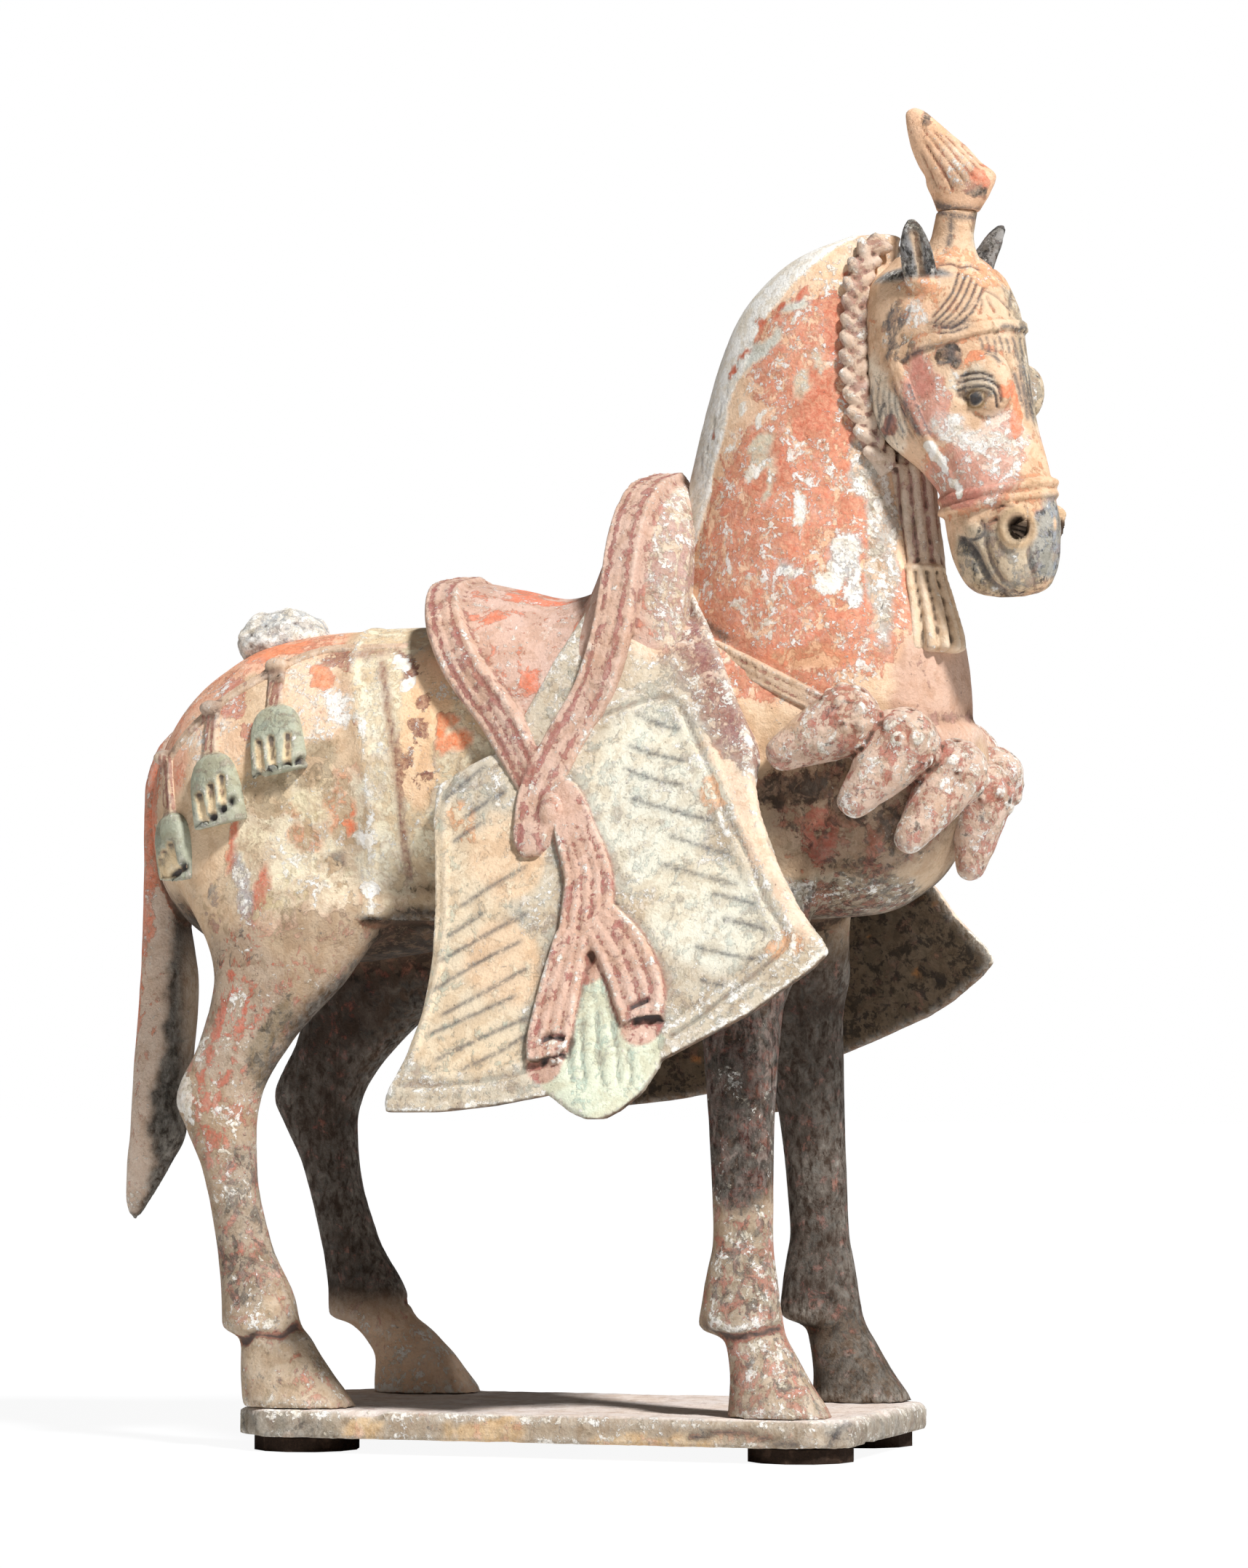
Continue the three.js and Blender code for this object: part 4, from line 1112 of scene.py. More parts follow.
# Neck and chest
hide.zone(step_up(z, 235, 262) * step_up(x, 10, 40), (236, 204, 172), BRICK, 0.3, 0.35, 0.1)
neck_paint = [
    [
        (236, 192, 160), (206, 112, 84), 0.56, 0.42, 0.08, (1115, 520, 75, 120), (1095, 690, 110, 130),
        (1140, 850, 130, 90), (1035, 800, 70, 130), (1080, 930, 80, 40),
    ],
    [
        None, (198, 98, 70), 0.78, 0.25, None, (1146, 440, 10, 44, 8), (1125, 418, 10, 6),
        (1060, 640, 30, 30), (1120, 560, 30, 50),
    ],
    [(220, 170, 134), (214, 128, 92), 0.5, 0.3, 0.2, (1110, 905, 60, 16, 8)],
    [
        None, (196, 194, 172), 0.62, 0.42, 0.2, (1098, 533, 9, 24, 12), (1064, 656, 8, 30, 10),
        (1050, 620, 14, 22, 10), (1124, 500, 8, 18),
    ],
    [(206, 206, 196), BLUE_GREY, 0.3, 0.3, 0.3, (1050, 478, 10, 40, 42), (1102, 418, 16, 10)],
    [
        None, CREAM, 0.4, 0.7, 0, (1025, 560, 6, 13), (1052, 580, 5, 13), (1008, 606, 6, 6),
        (1105, 690, 7, 20, 10), (1034, 640, 8, 12, 20),
    ],
    [
        (206, 196, 188), BLUE_GREY, 0.56, 0.6, 0.22, (1160, 762, 22, 34, 12), (1174, 812, 12, 22),
        (1090, 772, 20, 8, 10),
    ],
    [None, BLUE_GREY, 0.4, 0.7, 0.05, (1140, 800, 14, 20)],
    [(206, 180, 156), (172, 172, 166), 0.5, 0.5, 0.34, (1214, 760, 20, 130), (1195, 640, 20, 50)],
    [(206, 170, 148), MAUVE, 0.3, 0.08, 0.14, (1290, 960, 70, 90)],
    # These two rows paint the chest under the tassels darker: the tassels' painted shadow
    [(158, 134, 112), (150, 92, 74), 0.44, 0.26, 0.46, (1180, 1100, 140, 110)],
    [
        None, (112, 88, 74), 0.6, None, 0.56, (1086, 1084, 64, 22, -8), (1160, 1116, 30, 24),
        (1226, 1140, 20, 30),
    ],
    [None, (156, 72, 58), 0.62, None, None, (1120, 1150, 30, 40), (1200, 1180, 16, 30)],
    [(190, 176, 156), (164, 84, 66), 0.46, 0.6, 0.5, (1160, 1236, 120, 32)],
]
hide.layers(neck_paint)

# Rump, flank and saddle cloth
rump_paint = [
    [
        (236, 182, 152), (226, 132, 98), 0.44, 0.36, 0.16, (370, 900, 110, 24, -16), (290, 960, 50, 30, -40),
        (250, 1020, 24, 70, 14),
    ],
    [None, (172, 104, 92), 0.5, 0.4, None, (462, 905, 22, 18), (500, 905, 30, 12), (466, 990, 20, 16)],
    [None, (162, 92, 84), 0.5, 0.3, None, (485, 945, 13, 46)],
    [(238, 206, 176), ROSE, 0.3, 0.42, 0.1, (420, 960, 50, 60), (300, 1020, 40, 40)],
    [(196, 172, 142), (242, 230, 202), 0.54, 0.34, 0.34, (430, 1140, 110, 100)],
    [
        (186, 166, 138), (232, 206, 168), 0.44, 0.34, 0.38, (372, 1090, 34, 40), (430, 1050, 30, 40),
        (410, 1190, 24, 20),
    ],
    [None, (226, 152, 112), 0.5, 0.4, None, (470, 1110, 20, 30), (455, 1150, 16, 16), (415, 1120, 18, 12)],
    [(206, 184, 156), PALE_YELLOW, 0.5, 0.3, 0.28, (350, 1200, 44, 60)],
    [(214, 196, 160), (240, 226, 192), 0.6, 0.36, 0.3, (390, 1245, 40, 40), (430, 1110, 26, 20)],
    [(190, 166, 138), (150, 128, 102), 0.46, 0.2, 0.44, (460, 1270, 80, 30)],
    [None, (224, 210, 182), 0.46, 0.32, None, (400, 1230, 80, 50), (420, 1330, 50, 60)],
]
hide.layers(rump_paint)
hide.zone(cloth, (224, 202, 168), (240, 230, 200), 0.5, 0.34, 0.2)
cloth_paint = [
    [
        (226, 210, 180), (242, 234, 210), 0.5, 0.42, 0.14, (508, 960, 20, 60), (520, 1180, 30, 40),
        (515, 1060, 16, 40),
    ],
    [(240, 204, 166), (128, 66, 60), 0.34, 0.34, 0.12, (585, 960, 34, 60), (570, 1050, 26, 60)],
    [
        None, (112, 52, 50), 0.62, 0.4, None, (556, 916, 12, 26), (576, 1004, 14, 13), (582, 1068, 10, 7),
        (584, 966, 13, 9), (560, 1046, 8, 14),
    ],
    [None, None, 0.2, 1.0, 0, (548, 912, 10, 14), (556, 944, 9, 9), (500, 1220, 10, 14)],
    [
        None, (240, 120, 66), 0.72, 0.25, None, (620, 985, 14, 12), (614, 1030, 14, 12), (608, 1000, 6, 20),
        (634, 1020, 24, 16),
    ],
    [None, BRIGHT_ORANGE, 1.0, 0.02, 0, (480, 1132, 10, 14), (487, 1109, 5, 5)],
    [None, None, 0.1, 0.9, 0, (494, 1150, 10, 13), (442, 1220, 8, 9)],
    [None, (236, 132, 84), 0.78, 0.2, None, (438, 930, 15, 18), (378, 893, 40, 9, -14)],
    [None, (190, 112, 98), 0.62, 0.4, None, (322, 960, 18, 30, 20), (338, 1002, 12, 16)],
    [None, (242, 230, 200), 0.64, 0.42, 0.3, (420, 1180, 60, 44), (366, 1262, 26, 26), (456, 1236, 24, 18)],
    [None, (226, 162, 124), 0.46, 0.4, None, (418, 1160, 22, 16), (470, 1080, 9, 30)],
    [None, (200, 98, 72), 0.64, 0.36, 0.24, (317, 1152, 8, 40), (356, 1226, 12, 34, 8), (344, 1352, 34, 32)],
    [None, (150, 158, 168), 0.66, 0.58, 0.34, (334, 1232, 10, 66, -8)],
    [None, (142, 140, 130), 0.46, 0.3, 0.4, (463, 1184, 12, 13), (364, 1058, 20, 8), (300, 1240, 12, 44)],
]
hide.layers(cloth_paint)
cloth_line = [(526, 914), (534, 980), (546, 1052), (553, 1138), (563, 1207)]
hide.lines(hide_pen, [cloth_line], 3.0, None, (104, 50, 50), 0.72, 0.3, share=1.1)
strap_line = [(448, 908), (490, 900), (532, 897)]
hide.lines(hide_pen, [strap_line], 4.0, None, (128, 70, 64), 0.6, share=0.8)
dribbles = [[(452 + 12 * i, 952 + 3 * i), (453 + 11 * i, 990 + 5 * i)] for i in range(3)]
hide.lines(hide_pen, dribbles, 3.0, None, None, 0.3, 0.62, 0)

# Legs and tail
shank = step_down(z, 150, 190) * step_down(-x, 148, 154)
hide.zone(shank, (168, 144, 118), (176, 88, 66), 0.42, 0.26, 0.34)
shank_paint = [
    [(176, 156, 136), (196, 100, 74), 0.42, 0.32, 0.42, (330, 1400, 60, 130)],
    [
        None, (196, 94, 68), 0.44, 0.4, 0.26, (290, 1480, 18, 66, 10), (262, 1530, 12, 30),
        (330, 1400, 20, 50), (310, 1600, 12, 40),
    ],
]
hide.layers(shank_paint)
SHANK_STREAKS = [
    [(322, 1322), (300, 1420), (270, 1520), (276, 1560)],
    [(345, 1360), (322, 1450), (296, 1540), (303, 1620)], [(282, 1500), (288, 1590), (312, 1690)],
    [(330, 1640), (338, 1740), (356, 1810)],
]
hide.lines(hide_pen, SHANK_STREAKS, 2.2, None, (190, 84, 60), 0.56, 0.3)
hind_leg_paint = [
    [None, (200, 130, 110), 0.44, 0.5, 0.3, (258, 1500, 12, 30), (300, 1545, 20, 16)],
    [(140, 122, 98), (120, 108, 88), 0.4, 0.2, 0.5, (372, 1440, 18, 70, 20), (365, 1600, 10, 60, -8)],
    [(164, 146, 126), (180, 98, 80), 0.46, 0.3, 0.5, (345, 1690, 50, 120)],
    [(194, 172, 146), (190, 112, 88), 0.38, 0.3, 0.4, (390, 1880, 90, 80)],
    [None, (200, 114, 92), 0.52, 0.34, 0.3, (416, 1906, 18, 20)],
]
hide.layers(hind_leg_paint)
# The near front leg under the flap is painted dark, here and in the first row below: red-brown paint and the
# flap's painted shadow
near_front = step_up(x, 40, 50) * step_down(y, -4, 4) * step_up(z, 76, 100) * step_down(z, 165, 182)
hide.zone(near_front, (82, 68, 58), (122, 56, 46), 0.5, 0.26, 0.6)
front_leg_paint = [
    [(92, 76, 66), (120, 56, 46), 0.5, 0.3, 0.6, (1015, 1560, 60, 110)],
    [(174, 158, 138), (166, 84, 66), 0.5, 0.36, 0.5, (1030, 1768, 50, 92)],
    [(186, 168, 148), (182, 98, 80), 0.48, 0.37, 0.46, (1060, 1900, 90, 80)],
]
hide.layers(front_leg_paint)
tail_part = step_up(-x, 150, 158) * step_down(z, 235, 250)
hide.zone(tail_part, (206, 182, 162), (206, 116, 82), 0.36, 0.26, 0.3)
tail_edge = tail_part * step_down(hide.loose[:, 0] + 0.12 * (hide.loose[:, 1] - 1400), 184, 194)
hide.zone(tail_edge, None, (226, 110, 66), 0.62)
# The tail's right part, as the camera sees it, painted very dark
inner_tail = tail_part * step_up(hide.loose[:, 0] + 0.1 * (hide.loose[:, 1] - 1300), 222, 240)
hide.zone(inner_tail, (58, 51, 44), UMBER, 0.3, 0.04, 0.5)
# The far legs are painted very dark: dark staining and painted shade, as they lie in the body's shadow
far_leg = step_up(y, 10, 24) * step_down(z, 150, 190) * (1 - tail_part)
hoof = step_down(z, 22, 40)
hide.zone(far_leg, (62, 49, 40), (110, 50, 40), 0.4, 0.0, 0.45)
# The far hind hoof painted pale: painted light where it lies in shadow; the far front hoof stays dark
hide.zone(far_leg * hoof * step_down(x, -20, 0), (228, 194, 164), ROSE, 0.34, 0.36, 0.24)
hide.zone(far_leg * hoof * step_up(x, -20, 0), (92, 77, 64), (124, 66, 50), 0.4, 0.14, 0.55)
hide.zone(mane, (255, 250, 238), CREAM, 0.3, 0.6, 0.04)

# Mane, fetlocks and hoofs
MANE_OUTLINE = [
    (956, 655), (966, 612), (980, 570), (998, 524), (1020, 478), (1046, 440), (1080, 402), (1118, 372),
    (1160, 346), (1205, 328),
]
outline = along(MANE_OUTLINE, 76)
hide_pen.carve([[p, p + [9, 6.5], p + [17, 17]] for p in outline], 0.7, 0.35, 0.3, taper=0.2)
inner_hair = [[p + [17, 12], p + [25, 24]] for p in outline[1::2]]
hide_pen.carve(inner_hair, 0.7, 0.3, 0.2, taper=0.2, smooth=False)
mane_specks = [
    (190, 110, 84), BRICK, 0.8, 0.3, None, (1085, 412, 5, 9, 30), (1108, 402, 5, 11, 35), (1050, 438, 6, 10),
    (1076, 430, 3, 5), (1026, 485, 4, 8, 35), (1012, 508, 5, 9), (979, 590, 3, 6), (1163, 377, 3, 3),
]
hide.layers([mane_specks])
leg_pen = Pen(hide.pixel, near_facing(body))
FETLOCK_CREASES = [
    [(308, 1836), (322, 1844), (333, 1846), (353, 1834), (384, 1837), (409, 1822)],
    [(964, 1818), (972, 1834), (990, 1838), (1010, 1840), (1040, 1834), (1073, 1826)],
]
leg_pen.carve(FETLOCK_CREASES, 3.4, 1.5, 0.5)
FAR_CREASES = [
    [(450, 1818), (476, 1818), (507, 1822), (536, 1800), (560, 1790)],
    [(1076, 1812), (1092, 1816), (1130, 1812)],
]
far_pen = Pen(in_photo(body.co), near_facing(body))
far_pen.carve(FAR_CREASES, 3.2, 1.4, 0.3)
FETLOCK_KNOB = (393, 1853)
roundel = bump(leg_pen.away(*FETLOCK_KNOB), 0, 2.6)
leg_pen.height += 1.1 * roundel * step_up(-y, 10, 20) * step_up(leg_pen.towards, 0, 0.3)
body.push(hide_pen.height * mane + leg_pen.height + far_pen.height * far_leg)
# Painted shade on the faces that turn downwards, weaker on the lit chest
lit_chest = step_up(x, 62, 78) * step_up(-y, -12, 8)
belly_shade = 0.9 * under * (1 - mane) * step_down(z, 240, 260) * (1 - far_leg * hoof) * (1 - 0.75 * lit_chest)
hide.zone(belly_shade, (84, 66, 52), UMBER, 0.4, 0.05, 0.6)
hide.finish(8, 0.35, np.maximum(hide_pen.ink * mane, leg_pen.ink))
body.object(painted_clay, "horse")


# The head

head = Surface("horse_head", head_shells())
head.smooth(3)
head_placed = from_head(leaned(near_side(head.co)))
head_towards = near_facing(head, lambda normals: from_head(normals) - [HEAD_PIVOT, 0, 0])
lines = Pen(in_photo(head_placed), head_towards)
JAW, PUPIL, NOSTRIL_HOLE, MOUTH_CORNER = (1238, 556), (1341, 548), (1399, 726), (1340, 726)
lines.height += 1.4 * bump(lines.away(*JAW), 0, 15) * step_up(head_towards, 0, 0.3)
lids = [
    [(1322, 518), (1333, 514), (1350, 513), (1364, 518)],
    [(1318, 527), (1333, 522), (1350, 521), (1366, 526), (1374, 535), (1377, 552)],
    [(1317, 537), (1333, 532), (1350, 531), (1362, 535), (1369, 544), (1371, 560)],
]
lines.carve(lids, 1.1, 0.8, 1.0)
socket = [
    (1320, 543), (1330, 549), (1341, 551), (1352, 550), (1358, 544), (1350, 539), (1336, 539), (1324, 541),
]
# The eye's recess is carved and lightly inked: painted shade under the lid
lines.carve([socket[:5], socket[4:] + socket[:1]], 2.6, 1.3, 0.25)
forelock = [
    [(1282, 436), (1296, 420), (1310, 400), (1318, 376)],
    [(1286, 442), (1302, 426), (1318, 402), (1328, 378)],
    [(1292, 446), (1310, 430), (1326, 406), (1336, 382)],
    [(1298, 450), (1318, 434), (1334, 412), (1343, 390)],
    [(1306, 452), (1324, 440), (1342, 420), (1352, 396)],
    [(1283, 448), (1302, 450), (1320, 444), (1338, 428)], [(1290, 458), (1310, 456), (1330, 449)],
]
lines.carve(forelock, 0.95, 0.6, 0.9)
lock = [
    [(1355, 398), (1346, 408), (1335, 420), (1326, 428)],
    [(1355, 398), (1372, 408), (1384, 420), (1394, 430)], [(1358, 408), (1362, 418), (1368, 428)],
    [(1350, 412), (1350, 422), (1348, 430)],
]
lines.carve(lock, 1.2, 0.7, 0.35)
crown_line = [(1290, 364), (1306, 362), (1322, 367), (1334, 365), (1346, 370)]
lines.carve([crown_line], 0.9, 0.6, 0.7)
pupil = lines.away(*PUPIL)
seen = step_up(head_towards, 0.05, 0.3)
lines.height += 1.3 * seen * bump(pupil, 0, 2.2)
lines.ink = np.maximum(lines.ink, seen * 0.95 * step_down(pupil, 1.9, 2.6))
nostril = lines.away(*NOSTRIL_HOLE, 1.12)
lines.height += 0.8 * seen * bump(nostril, 5.4, 1.5) - 6.0 * seen * step_down(nostril, 3.0, 4.3)
lines.ink = np.maximum(lines.ink, step_down(nostril, 3.3, 4.1))
jaw_line = [(1322, 742), (1334, 752), (1343, 766), (1352, 786), (1364, 803), (1380, 817)]
lines.carve([jaw_line], 3.0, 1.8, 0.5)
lip_line = [(1368, 714), (1357, 722), (1354, 738), (1358, 760), (1366, 780), (1378, 798), (1392, 812)]
lines.carve([lip_line], 2.4, 1.1, 0.2)
muzzle_line = [(1420, 722), (1416, 742), (1414, 762), (1420, 786), (1424, 806)]
lines.carve([muzzle_line], 1.8, 0.7, 0.15)
lines.height += 1.5 * seen * bump(lines.away(*MOUTH_CORNER), 0, 3.4)
corner_line = [(1350, 716), (1353, 728), (1346, 740), (1334, 742)]
lines.carve([corner_line], 1.1, 0.8, 0.7)
wrinkles = [
    [(1366, 702), (1378, 696), (1392, 697)], [(1362, 708), (1374, 702)],
    [(1408, 696), (1414, 706), (1414, 716)],
]
lines.carve(wrinkles, 1.0, 0.5, 0.2)
stub_ink = [[(1288, 291), (1316, 297), (1346, 299)], [(1306, 302), (1308, 318), (1304, 336)]]
lines.draw(stub_ink, 2.4, 0.8)
charcoal = [
    [(1236, 505), (1250, 490), (1268, 480), (1290, 474)], [(1226, 470), (1222, 440), (1228, 420)],
    [(1218, 500), (1224, 480), (1232, 462)], [(1206, 600), (1214, 570), (1222, 546)],
    [(1214, 612), (1224, 585), (1232, 556)], [(1240, 540), (1250, 560), (1262, 590), (1274, 606)],
    [(1392, 505), (1398, 525), (1404, 548), (1408, 566)], [(1404, 520), (1410, 550), (1414, 584)],
    [(1352, 478), (1366, 488), (1378, 502)], [(1372, 452), (1384, 448), (1396, 452), (1402, 466)],
    [(1388, 386), (1396, 402), (1400, 418)],
]
lines.draw(charcoal, 1.7, 0.85, taper=0.2)
cheek_lines, fine_lines = [], []
for i in range(6):
    line = [(1206 + 7 * i, 520 + 4 * (i % 2)), (1202 + 8 * i, 548), (1208 + 8 * i, 580)]
    cheek_lines.append([*line, (1220 + 9 * i, 606 + 5 * (i % 3))])
for i in range(4):
    fine_lines.append([(1218 + 5 * i, 482 - 8 * i), (1228 + 6 * i, 460 - 7 * i), (1232 + 7 * i, 432 - 5 * i)])
for i in range(4):
    line = [(1396 + 6 * i, 470 + 14 * i), (1402 + 5 * i, 506 + 12 * i), (1406 + 5 * i, 540 + 10 * i)]
    fine_lines.append(line)
lines.draw(cheek_lines, 1.0, 0.6, taper=0.25)
lines.draw(fine_lines, 1.0, 0.8, taper=0.25)
strap_ink = [[(1246, 520), (1258, 552), (1272, 584), (1284, 606)], [(1228, 520), (1240, 552), (1254, 580)]]
lines.draw(strap_ink, 1.1, 0.85, taper=0.15)
smudges = [[(1284, 446), (1300, 449), (1330, 444)], [(1308, 480), (1306, 496)]]
lines.draw(smudges, 4.0, 0.6)
brow_ink = []
for i in range(7):
    line = [(1345 + 9 * i, 462 - (i % 2) * 3), (1350 + 9 * i, 472), (1352 + 9 * i, 484 + (i % 3) * 5)]
    brow_ink.append(line)
lines.draw(brow_ink, 1.2, 0.8, taper=0.2)
head.push(lines.height + 0.12 * rough(head.co, 7, 3, 21))
near_mask = step_up(-head.co[:, 1], -2, 3)
face = Painter(head, head_placed, (224, 190, 158), (232, 156, 114), 0.36, 0.3, 0.26)
cheek_paint = [
    [(226, 188, 168), (208, 144, 126), 0.62, 0.44, 0.06, (1276, 545, 27, 64, -16), (1330, 655, 66, 46, -20)],
    [(218, 168, 150), (200, 126, 110), 0.64, 0.3, None, (1268, 520, 14, 30, -16), (1320, 690, 30, 14, -14)],
    [(232, 206, 188), (216, 156, 138), 0.5, 0.5, 0.06, (1376, 620, 34, 44)],
    [(236, 214, 198), (218, 160, 142), 0.44, 0.56, None, (1306, 590, 26, 16), (1345, 606, 40, 14)],
    [(232, 222, 210), None, 0.2, 0.74, None, (1286, 632, 7, 22, -24), (1306, 676, 7, 14, -20)],
    [(230, 210, 184), (206, 176, 146), 0.4, 0.44, 0.24, (1340, 535, 34, 26)],
]
face.layers(cheek_paint)
face.zone(seen * step_down(pupil, 1.7, 2.5), (74, 64, 52), UMBER, 0.3, 0, 0.4)
face.zone(seen * bump(pupil, 3.1, 0.7), (150, 124, 86), None, None, 0.1)
muzzle_paint = [
    # The jaw painted pale: painted light where it lies in shade
    [(244, 230, 208), (166, 166, 162), 0.4, 0.36, 0.28, (1214, 560, 30, 70, -15)],
    [(196, 142, 122), MAUVE, 0.6, None, None, (1229, 582, 9, 14)],
    [(202, 184, 158), (146, 142, 134), 0.46, 0.34, 0.4, (1370, 770, 64, 54)],
    [(168, 164, 154), (150, 156, 164), 0.52, 0.36, 0.46, (1436, 740, 18, 60)],
    [None, (104, 106, 106), 0.5, 0.3, 0.46, (1340, 780, 10, 40, -30), (1400, 820, 46, 9), (1425, 765, 7, 40)],
]
face.layers(muzzle_paint)
# The nostril's hole painted nearly black: painted shade in the recess
face.zone(step_down(nostril, 3.5, 4.4), (46, 34, 25), UMBER, 0.0, 0, 0.3)
lines.ink *= step_up(nostril, 3.4, 4.4)
face.zone(bump(nostril, 5.4, 1.3), (200, 172, 138), TAN, 0.2, 0.3, 0.2)
forehead_paint = [[(226, 196, 166), (232, 150, 112), 0.36, 0.26, 0.42, (1400, 470, 36, 50)]]
face.layers(forehead_paint)
behind_face = (1 - near_mask) * step_up(head_placed[:, 2], 340, 346)
face.zone(behind_face, (206, 188, 162), (150, 142, 128), 0.44, 0.4, 0.4)
poll_paint = [
    [PEACH, ORANGE, 0.4, 0.45, 0.25, (1262, 425, 22, 24)],
    [None, (92, 94, 94), 0.62, 0.3, 0.5, (1306, 488, 16, 17), (1318, 500, 8, 10)],
]
face.layers(poll_paint)
LID_PATCH, NOSE_PATCH = (1342, 490, 14, 11), (1394, 570, 7, 40, -12)
face.zone(near_mask * face.spot(*LID_PATCH), None, (236, 136, 92), 0.6, 0.3)
face.zone(near_mask * face.spot(*NOSE_PATCH), None, (234, 124, 82), 0.66, 0.34)
brow_paint = [
    [
        (234, 196, 160), (230, 156, 112), 0.5, 0.4, 0.2, (1270, 400, 30, 14), (1350, 380, 30, 16),
        (1300, 360, 40, 14),
    ],
    [None, (120, 118, 112), 0.44, 0.4, 0.4, (1226, 440, 16, 30), (1240, 470, 18, 16)],
]
face.layers(brow_paint)
x, y, z = head.co.T
ear = step_up(z, 397, 400) * step_up(np.abs(y), 14, 16.5)
face.zone(ear, (146, 144, 142), CHARCOAL, 0.45, 0.4, 0.5)
ear_axis = linear_rows(EARS, z)
ear_depth = np.hypot(x - EAR_X - np.where(y > 0, ear_axis[:, 3], 0), np.abs(y) - ear_axis[:, 0])
in_cup = ear * step_down(ear_depth, 1.6, 3.2) * step_down(z, 413, 417)
face.zone(in_cup, (196, 172, 146), UMBER, 0.4, 0.3, 0.35)
face.finish(6, 0.3, lines.ink)
# The nostril's hole also counts as a deep crease, which the clay shader darkens: more painted shade
head.marks["crease"] = np.maximum(head.marks["crease"], 0.9 * step_down(nostril, 3.2, 4.2))
head.co = from_head(leaned(head.co))
head.object(painted_clay, "horse")


# The saddle and its flaps

saddle = Surface("saddle", saddle_shells())
saddle.smooth(2)
saddle.push(0.25 * rough(saddle.co, 18, 3, 2))
seat = Painter(saddle, near_side(saddle.co), (208, 176, 160), (220, 128, 98), 0.38, 0.36, 0.18)
x, y, z = saddle.co.T
on_band, flutes = np.zeros(len(saddle.co)), np.zeros(len(saddle.co))
for rows in (CANTLE_BAND, POMMEL_BAND):
    path = along(np.array(rows)[:, :3], 60)
    away, _ = path_distance(near_side(saddle.co), path, 14)
    on_band = np.maximum(on_band, step_down(away, 8.2, 9.4))
    flutes = np.maximum(flutes, np.maximum(bump(away, 1.5, 0.7), bump(away, 4.6, 0.7)))
seat.zone(on_band, (206, 174, 156), (156, 94, 90), 0.36, 0.34, 0.24)
seat.zone(flutes * on_band, None, (150, 78, 76), 0.6)
POMMEL_PATCH = (926, 770, 46, 160, -8)
front_face = seat.spot(*POMMEL_PATCH) * (1 - on_band)
seat.zone(front_face, (208, 190, 168), (176, 136, 130), 0.52, 0.46, 0.3)
bare_seat = (1 - on_band) * step_up(rough(saddle.co, 16, 3, 33), 0.1, 0.4) * (1 - front_face)
seat.zone(bare_seat, None, (234, 116, 76), 0.58)
seat.finish(4, 0.36)
saddle.object(painted_clay, "horse")

FLAP_BORDER = [
    (4, 233), (22, 244), (39, 250), (44, 251), (50, 248), (56, 238), (64, 225), (72, 209), (82, 194),
    (90, 178), (99, 164), (89, 153), (79, 145), (68, 136), (62, 132),
]
FLAP_BORDER_REAR = [
    (-30, 222), (-34, 211), (-31, 190), (-28, 167), (-29, 149), (-32, 131), (-35, 115), (-22, 115), (-9, 116),
    (4, 118), (13, 120),
]
FRONT_STROKES = [
    [(871, 980), (905, 995), (939, 1004)], [(859, 1022), (886, 1034), (945, 1047)],
    [(852, 1054), (888, 1068), (944, 1082)], [(860, 1095), (904, 1109), (986, 1131)],
    [(915, 1147), (951, 1159), (1012, 1177)], [(900, 1186), (951, 1200), (1021, 1218)],
    [(974, 1227), (1010, 1236), (1045, 1246)], [(990, 1262), (1030, 1272), (1056, 1280)],
    [(950, 1299), (986, 1309), (1056, 1322)], [(960, 1347), (1000, 1357)],
]
REAR_STROKES = [
    [(608, 1104), (640, 1076), (672, 1050)], [(634, 1127), (668, 1104), (698, 1086)],
    [(620, 1160), (645, 1142), (668, 1128)], [(628, 1250), (680, 1216), (728, 1190)],
    [(612, 1290), (640, 1272), (668, 1252)], [(598, 1326), (660, 1290), (734, 1250)],
    [(590, 1366), (650, 1328), (724, 1290)], [(600, 1400), (670, 1362), (734, 1326)],
    [(582, 1426), (650, 1396), (716, 1366)], [(590, 1462), (660, 1428), (732, 1396)],
    [(628, 1474), (690, 1444), (728, 1420)],
]
CUFF_SLITS = [
    [(742, 1431), (758, 1424), (777, 1428)], [(742, 1464), (762, 1453), (780, 1450)],
    [(862, 1386), (880, 1377), (895, 1372)], [(868, 1407), (890, 1402), (914, 1402)],
]
TONGUE_FOLDS = [
    [(806, 1385), (800, 1430), (806, 1500)], [(820, 1370), (822, 1430), (830, 1505)],
    [(838, 1395), (848, 1440), (852, 1500)], [(858, 1430), (868, 1465), (868, 1498)],
    [(790, 1420), (784, 1455), (788, 1495)],
]
MAUVE_BAND = [(920, 778), (944, 860), (982, 940), (1020, 1005), (1052, 1052)]
